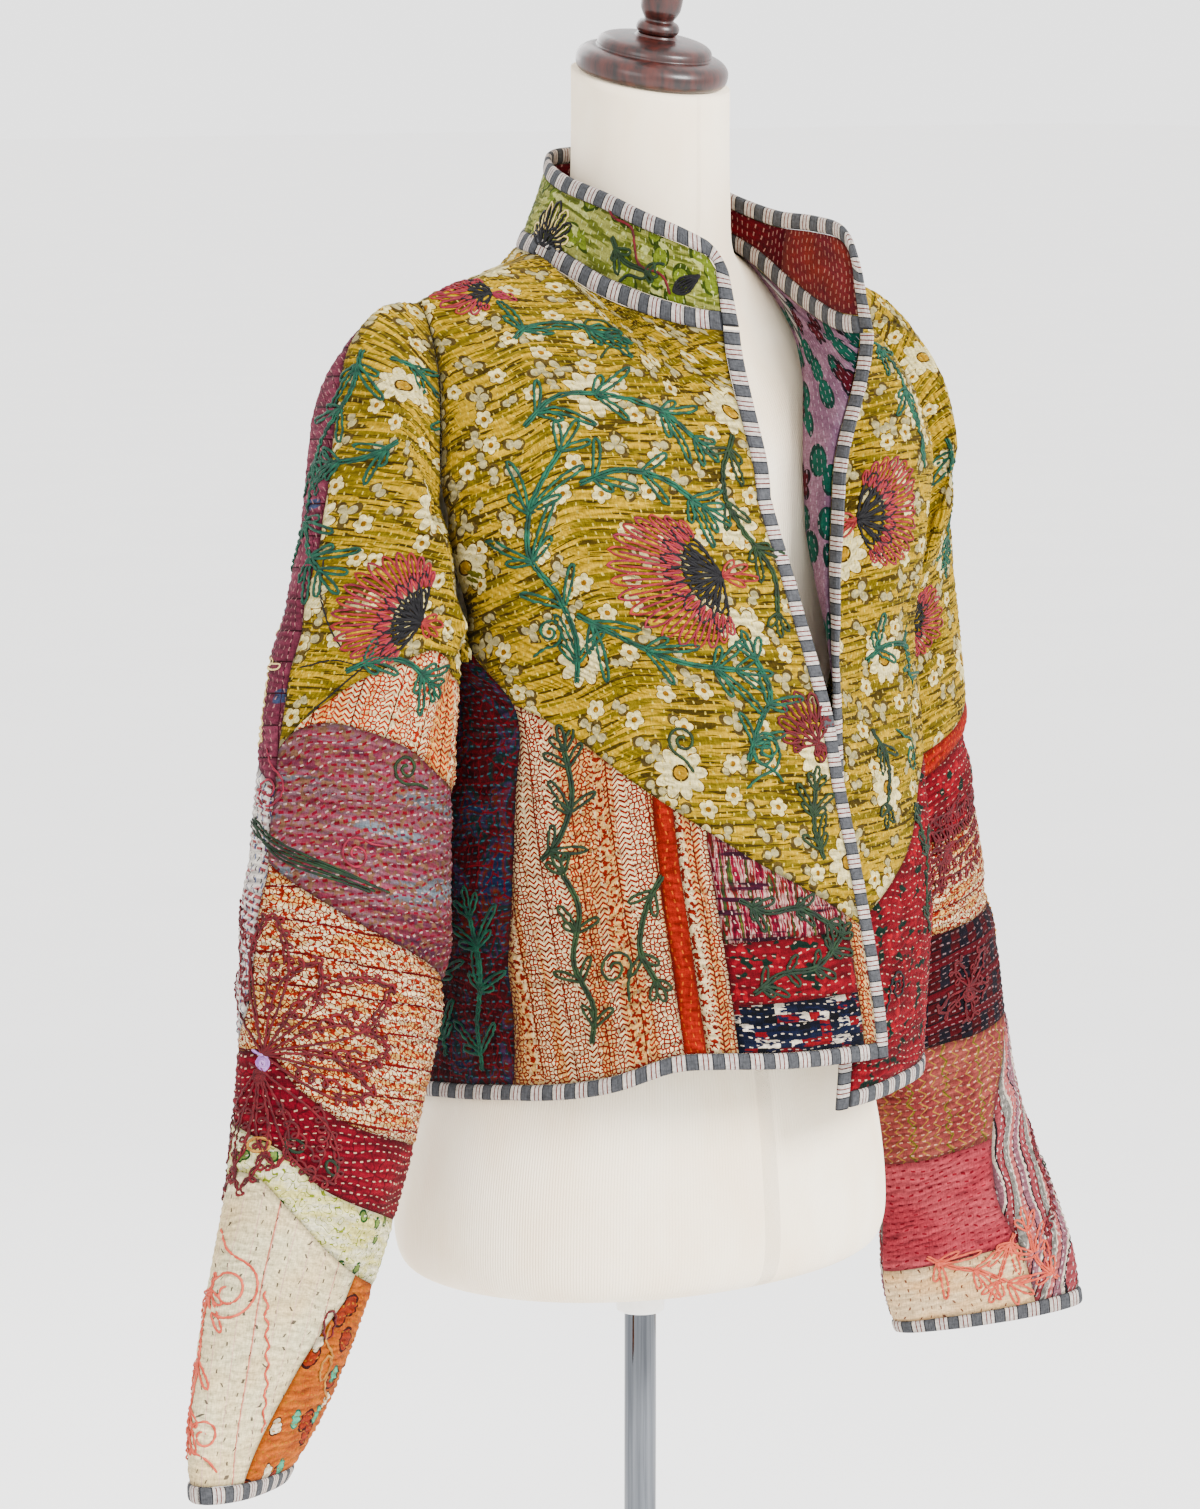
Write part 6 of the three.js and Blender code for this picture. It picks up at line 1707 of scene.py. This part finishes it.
def cord_mesh(area, colour, cords):
    """One mesh for an area's cords of one colour: tubes of five sides, flattened on the cloth, thinner at
    every third ring as a chain stitch is between its links, and closed at both ends. A link is three steps
    long, about half as long again as sewn, so that it shows."""
    angle = 2 * math.pi * np.arange(CORD_SIDES) / CORD_SIDES
    section = np.stack([np.cos(angle), np.sin(angle)], -1)
    girth = CORD_GIRTH * np.arange(CORD_SIDES)
    places, faces, ends, flats, first = [], [], [], [], 0
    for place, normal, thin in cords:
        way = unit(np.gradient(place, axis=0))
        sideways = unit(np.cross(normal, way))
        link = np.where(np.arange(len(place)) % LINK_RINGS > 0, 1, LINK_WAIST)
        link[[0, -1]] = CORD_TIP
        rings = section * (thin * link[:, None, None] * [CORD_WIDE, CORD_HIGH])
        made, quads, ids = tube(place, sideways, unit(np.cross(way, sideways)), rings, False)
        places.append(made)
        faces.append(quads + first)
        ends += [ids[0][::-1] + first, ids[-1] + first]
        length = CORD_STEP * np.arange(len(place))[:, None]
        flats.append(np.stack(np.broadcast_arrays(length, girth), -1).reshape(-1, 2))
        first += len(made)
    return put_mesh(f"embroidery_{area}_{colour}", np.concatenate(places),
                    [np.concatenate(faces), np.array(ends)], np.concatenate(flats),
                    [MATERIAL["thread_" + colour]])


# Right front: vines about one large blossom, with curling tendrils, a wine-red flower by the edge.
for u, v, turn, motif in [
    (0.70, 0.575, 188, blossom(35)),
    (0.14, 0.46, 0, sprig("teal", (9, 24), (6, 52), (-2, 82), (10, 112), (26, 132), seed=3, leaf=27)),
    (0.17, 0.775, 0, sprig("teal", (26, 10), (52, 12), (84, 0), (100, -16), seed=4, leaf=24)),
    (0.20, 0.535, 0, sprig("teal", (20, -20), (48, -36), (84, -42), seed=5, leaf=27)),
    (0.30, 0.69, 0, sprig("teal", (24, 8), (50, 4), (74, -12), seed=6, leaf=23, every=28)),
    (0.60, 0.36, 0, sprig("teal", (10, 22), (22, 40), (20, 62), seed=7, leaf=20)),
    (0.90, 0.78, 0, sprig("olive", (-14, -24), (-10, -54), (2, -84), (-4, -110), seed=8, leaf=17)),
    (0.25, 0.90, 0, sprig("teal", (16, 12), (34, 14), (52, 4), seed=9, leaf=22)),
    (0.60, 0.865, 20, tendril("olive", 13)),
    (0.68, 0.345, 10, tendril("teal", 12, turns=1.9)),
    (0.66, 0.355, 160, tendril("teal", 11, hand=-1)),
    (0.36, 0.37, 150, tendril("olive", 9, hand=-1)),
    (0.12, 0.50, -10, tendril("teal", 9)),
    (0.30, 0.965, 160, blossom(17, ("rose", "coral"), petals=10)),
    (0.90, 0.375, 118, blossom(17, ("wine", "wine"), "wine", petals=8)),
    (0.84, 0.24, 95, sprig("olive", (20, 3), (42, -4), seed=10, leaf=16, every=20)),
    (0.10, 0.06, 0, sprig("olive", (5, 22), (-3, 50), (6, 80), (0, 104), seed=11, leaf=17)),
    (0.19, 0.13, 60, tendril("olive", 11)),
    (0.29, 0.23, 0, sprig("olive", (-12, -16), (-20, -38), (-14, -60), seed=12, leaf=15)),
    (0.04, 0.27, 0, sprig("green", (14, 12), (24, 34), (22, 62), seed=15, leaf=18, every=24)),
    (0.50, 0.09, 20, sprig("green", (22, 4), (48, -2), (74, 6), seed=13, leaf=13, every=20)),
    (0.50, 0.20, -12, sprig("green", (18, -4), (40, 2), (62, -4), seed=14, leaf=12, every=28)),
]:
    lay("front_right", RIGHT_FRONT, u, v, turn, motif)

for u, v, turn, motif in [
    (0.42, 0.62, 176, blossom(28, petals=16)),
    (0.62, 0.80, 0, sprig("teal", (-18, -14), (-40, -16), (-66, -8), seed=21, leaf=20)),
    (0.22, 0.88, 0, sprig("teal", (-14, -26), (-10, -56), (-20, -80), seed=22, leaf=20)),
    (0.55, 0.47, 0, sprig("teal", (-20, 6), (-46, 2), (-68, -10), seed=23, leaf=20)),
    (0.66, 0.40, 0, sprig("green", (-6, -22), (4, -46), seed=24, leaf=17)),
    (0.36, 0.38, 190, tendril("teal", 11)),
    (0.78, 0.55, 100, tendril("olive", 9, hand=-1)),
    (0.30, 0.16, 0, sprig("green", (8, 20), (2, 46), (10, 70), seed=25, leaf=15)),
    (0.70, 0.12, 90, tendril("black", 10)),
]:
    lay("front_left", LEFT_FRONT, u, v, turn, motif)

# Right sleeve, from the shoulder down: blossom, leafy stems, curls, a lace flower and coral branches, then
# fine black threads and a green swath.
RS = ("sleeve_right", RIGHT_SLEEVE)
for u, v, turn, motif in [
    (0.25, 0.155, 190, blossom(29)),
    (0.02, 0.05, 0, sprig("teal", (8, 26), (0, 60), (8, 92), (26, 120), (44, 134), seed=31, leaf=25)),
    (0.06, 0.035, 0, sprig("teal", (16, -6), (34, -4), (52, 8), seed=32, leaf=20)),
    (0.13, 0.075, 0, sprig("teal", (-16, 12), (-36, 16), seed=33, leaf=20, every=24)),
    (0.16, 0.235, 0, sprig("teal", (14, -10), (34, -12), (54, -4), seed=34, leaf=18)),
    (0.90, 0.20, 80, sprig("cream", (24, 6), (50, -4), (78, 4), seed=35, leaf=15)),
    (0.90, 0.38, 80, sprig("blue", (20, -4), (44, 4), (66, 0), seed=36, leaf=14)),
    (0.30, 0.29, 160, tendril("olive", 9)),
    (0.08, 0.33, 30, tendril("rose", 12)),
    (0.24, 0.36, 200, tendril("rose", 10, hand=-1)),
    (0.05, 0.572, 0, lace("wine", 98, (-110, -80, -54, -31, -9, 13))),
    (0.04, 0.585, 0, lace("wine", 84, (112, 92, 72, 50), "wine")),
    (0.16, 0.61, 0, [("wine", looping(curve((0, 0), (6, 20), (2, 44)), 3.0, 6.4))]),
    (0.90, 0.52, 0, ring("blue", 9, 13) + ring("blue", 5, 8) + ring("blue", 5, 5, 0, (2, 22))),
    (0.12, 0.655, 20,
     ring("green", 6, 3.5) + ring("green", 5, 3, 30, (26, 2)) + ring("tan", 7, 4, -20, (-20, 8))),
    (0.06, 0.775, 20, tendril("peach", 19, turns=1.9)),
    (-0.02, 0.79, 0, sprig("peach", (-4, 26), (-2, 56), (-8, 92), seed=37, leaf=22, every=34)),
    (0.0, 0.955, 200, tendril("peach", 11)),
    (0.12, 0.80, 78, wavy("peach", 88, 1.2, 12)),
    (0.27, 0.83, 60, ring("wine", 10, 6) + ring("tan", 8, 5, 20, (30, 4)) + wavy("tan", 60, 3, 34)),
]:
    lay(*RS, u, v, turn, motif)
for u, v, turn, motif in [
    (0.24, 0.165, 0, plain("black", (0, 0), (-18, 22), (-40, 52), (-46, 60))),
    (0.06, 0.175, 0, plain("black", (0, 0), (8, 22), (22, 42), (32, 52))),
    (0.08, 0.25, 0, plain("black", (0, 0), (20, -6), (46, -2))),
]:
    lay(*RS, u, v, turn, motif, thin=0.6)
swath = []
for shift in range(-2, 3):
    reach = 52 - 6 * abs(shift) - 3 * (shift % 2)
    swath.append(("green", curve((-reach, 0.9 * shift - 19), (-12, 2.3 * shift), (reach, 1.2 * shift + 12))))
lay(*RS, 0.15, 0.39, 0, swath, thin=0.8)

for u, v, turn, motif in [
    (0.20, 0.04, 0, sprig("teal", (8, 24), (2, 52), (10, 84), seed=41, leaf=22)),
    (0.34, 0.16, 170, blossom(20, petals=12)),
    (0.30, 0.445, 0, lace("wine", 30, (-120, -60, 0, 60), "wine")),
    (0.26, 0.44, 4, [("wine", looping(curve((-30, y), (-4, y + 4), (30, y - 2)), 3.2, 6.6 + 0.06 * y))
                     for y in (-22, -13, -3, 8, 18)]),
    (0.25, 0.60, 0, lace("wine", 26, (20, 90, 160, 230, 300), "wine")),
    (0.36, 0.90, 0, sprig("peach", (-16, 12), (-34, 20), (-54, 34), seed=42, leaf=24, every=26)),
    (0.20, 0.90, 40, sprig("peach", (16, 6), (32, 14), seed=43, leaf=18, every=22)),
    (0.12, 0.965, -60, sprig("peach", (20, 4), (42, -4), seed=45, leaf=20, every=18)),
    (0.04, 0.74, 80, [("wine", looping(curve((0, 0), (24, 8), (50, -6), (84, 6), (112, -4)), 3.0, 6.2))]),
    (0.98, 0.78, 90, sprig("green", (24, 4), (52, -6), (84, 2), seed=44, leaf=15)),
    (0.10, 0.52, 90, [("tan", looping(curve((0, 0), (14, 4), (30, -4)), 2.4, 5.0))]),
    (0.75, 0.40, 90, lace("wine", 30, (0, 72, 144, 216, 288))),
]:
    lay("sleeve_left", LEFT_SLEEVE, u, v, turn, motif)

for u, v, turn, motif in [
    (0.36, 0.66, 15, blossom(36)),
    (0.74, 0.80, 200, blossom(28, petals=16)),
    (0.22, 0.52, 0, sprig("teal", (-6, 30), (6, 62), (22, 92), (20, 124), seed=51, leaf=27)),
    (0.55, 0.50, 0, sprig("teal", (24, 18), (54, 22), (90, 6), seed=52, leaf=26)),
    (0.60, 0.62, 0, sprig("teal", (26, 14), (60, 18), (88, 40), seed=53, leaf=25)),
    (0.34, 0.84, 0, sprig("teal", (26, 12), (60, 10), (88, 20), seed=54, leaf=24)),
    (0.84, 0.52, 0, sprig("olive", (6, 26), (-4, 56), seed=55, leaf=20)),
    (0.46, 0.52, 30, tendril("teal", 13)),
    (0.14, 0.72, 80, tendril("olive", 12, hand=-1)),
    (0.50, 0.92, 20, tendril("teal", 11)),
    (0.20, 0.10, 0, sprig("olive", (8, 30), (0, 66), (12, 100), seed=56, leaf=19)),
    (0.50, 0.12, 0, sprig("olive", (-6, 26), (4, 58), (-4, 90), seed=57, leaf=19)),
    (0.80, 0.10, 0, sprig("olive", (6, 28), (-6, 60), (4, 92), seed=58, leaf=19)),
]:
    lay("back", BACK, u, v, turn, motif)

for side, panel in (("right", RIGHT_SIDE), ("left", LEFT_SIDE)):
    for u, v, motif in [
        (0.35, 0.10, sprig("teal", (8, 34), (-4, 72), (8, 112), seed=61, leaf=22)),
        (0.50, 0.66, sprig("coral", (-8, 18), (0, 40), seed=62, leaf=17)),
        (0.16, 0.07, sprig("teal", (4, 30), (-4, 62), (6, 96), seed=64, leaf=22)),
        (0.75, 0.20, sprig("blue", (6, 28), (-2, 60), seed=63, leaf=18)),
    ]:
        lay(f"side_{side}", panel, u, v, 0, motif)

for length, height, turn, motif in [
    (150, 5, 88, blossom(15, ("black", "cream"), "black", petals=9)),
    (22, 30, -35, [("black", loop(24, 9 * share)) for share in (1, 0.6, 0.2)]),
    (44, 14, 30, wavy("wine", 76, 4.5, 40)),
    (50, 30, -30, wavy("green", 40, 2.5, 26)),
    (100, 33, 200, sprig("olive", (18, 4), (36, -2), seed=71, leaf=12, every=28)),
    (250, 8, 60, blossom(14, petals=9)),
    (330, 12, 0, sprig("olive", (20, 4), (44, 5), (66, 2), seed=72, leaf=9, every=20)),
    (430, 26, 0, wavy("wine", 60, 4.0, 34)),
]:
    lay("collar", COLLAR, length, height, turn, motif, "soft")

EMBROIDERED = {
    "front_right": "front_right_mustard", "front_left": "front_left_mustard", "back": "back_mustard",
    "sleeve_right": "sleeve_right_mustard", "sleeve_left": "sleeve_left_mustard", "side_right": "side_right",
    "side_left": "side_left", "collar": "collar_outer",
}
for (area, colour), cords in CORDS.items():
    made = cord_mesh(area, colour, cords)
    CUTS[EMBROIDERED[area] + "_cloth"][-1].append(made)


CAMERA_DISTANCE, CAMERA_HEIGHT = 3.0, 1.492  # metres
AZIMUTH, YAW, PITCH = -40.0, 0.483, 8.3  # degrees: place round the object, and the aim off it and down
FOCAL, SENSOR = 117.2, 36.0  # millimetres
FLOOR, SKY = 60, 2.55  # half the floor's width in metres, and the strength of the even white light
camera = bpy.data.objects.new("camera", bpy.data.cameras.new("camera"))
azimuth = math.radians(AZIMUTH)
away = (math.sin(azimuth), -math.cos(azimuth))
camera.location = (CAMERA_DISTANCE * away[0], CAMERA_DISTANCE * away[1], CAMERA_HEIGHT)
camera.rotation_euler = (math.radians(90 - PITCH), 0, azimuth + math.radians(YAW))
camera.data.lens, camera.data.sensor_width = FOCAL, SENSOR
camera.data.sensor_fit = "AUTO"
bpy.context.scene.collection.objects.link(camera)
bpy.context.scene.camera = camera

floor = bpy.data.objects.new("floor", bpy.data.meshes.new("floor"))
corners = [(FLOOR * x, FLOOR * y, 0) for x, y in ((-1, -1), (1, -1), (1, 1), (-1, 1))]
floor.data.from_pydata(corners, [], [(0, 1, 2, 3)])
floor.data.materials.append(MATERIAL["painted_board"])
bpy.context.scene.collection.objects.link(floor)

world = bpy.data.worlds.new("studio")
world.use_nodes = True
world.node_tree.nodes["Background"].inputs["Color"].default_value = (1, 1, 1, 1)
world.node_tree.nodes["Background"].inputs["Strength"].default_value = SKY
bpy.context.scene.world = world


def lamp(name, place, aim, size, power):
    """A soft square light, aimed at a point, of a size in metres and a power in watts."""
    data = bpy.data.lights.new(name, "AREA")
    data.shape, data.size, data.energy = "SQUARE", size, power
    made = bpy.data.objects.new(name, data)
    made.location = place
    x, y, z = np.array(place) - np.array(aim)
    made.rotation_euler = (math.atan2(math.hypot(x, y), z), 0, math.atan2(y, x) + math.pi / 2)
    bpy.context.scene.collection.objects.link(made)


lamp("key", (0.6, -3.0, 2.9), (0, 0, 1.1), 1.2, 260)
lamp("fill", (-2.8, -1.2, 1.9), (0, 0, 1.1), 1.6, 36)
lamp("back_light", (0.6, 2.6, 2.4), (0, 0, 1.2), 2.0, 50)
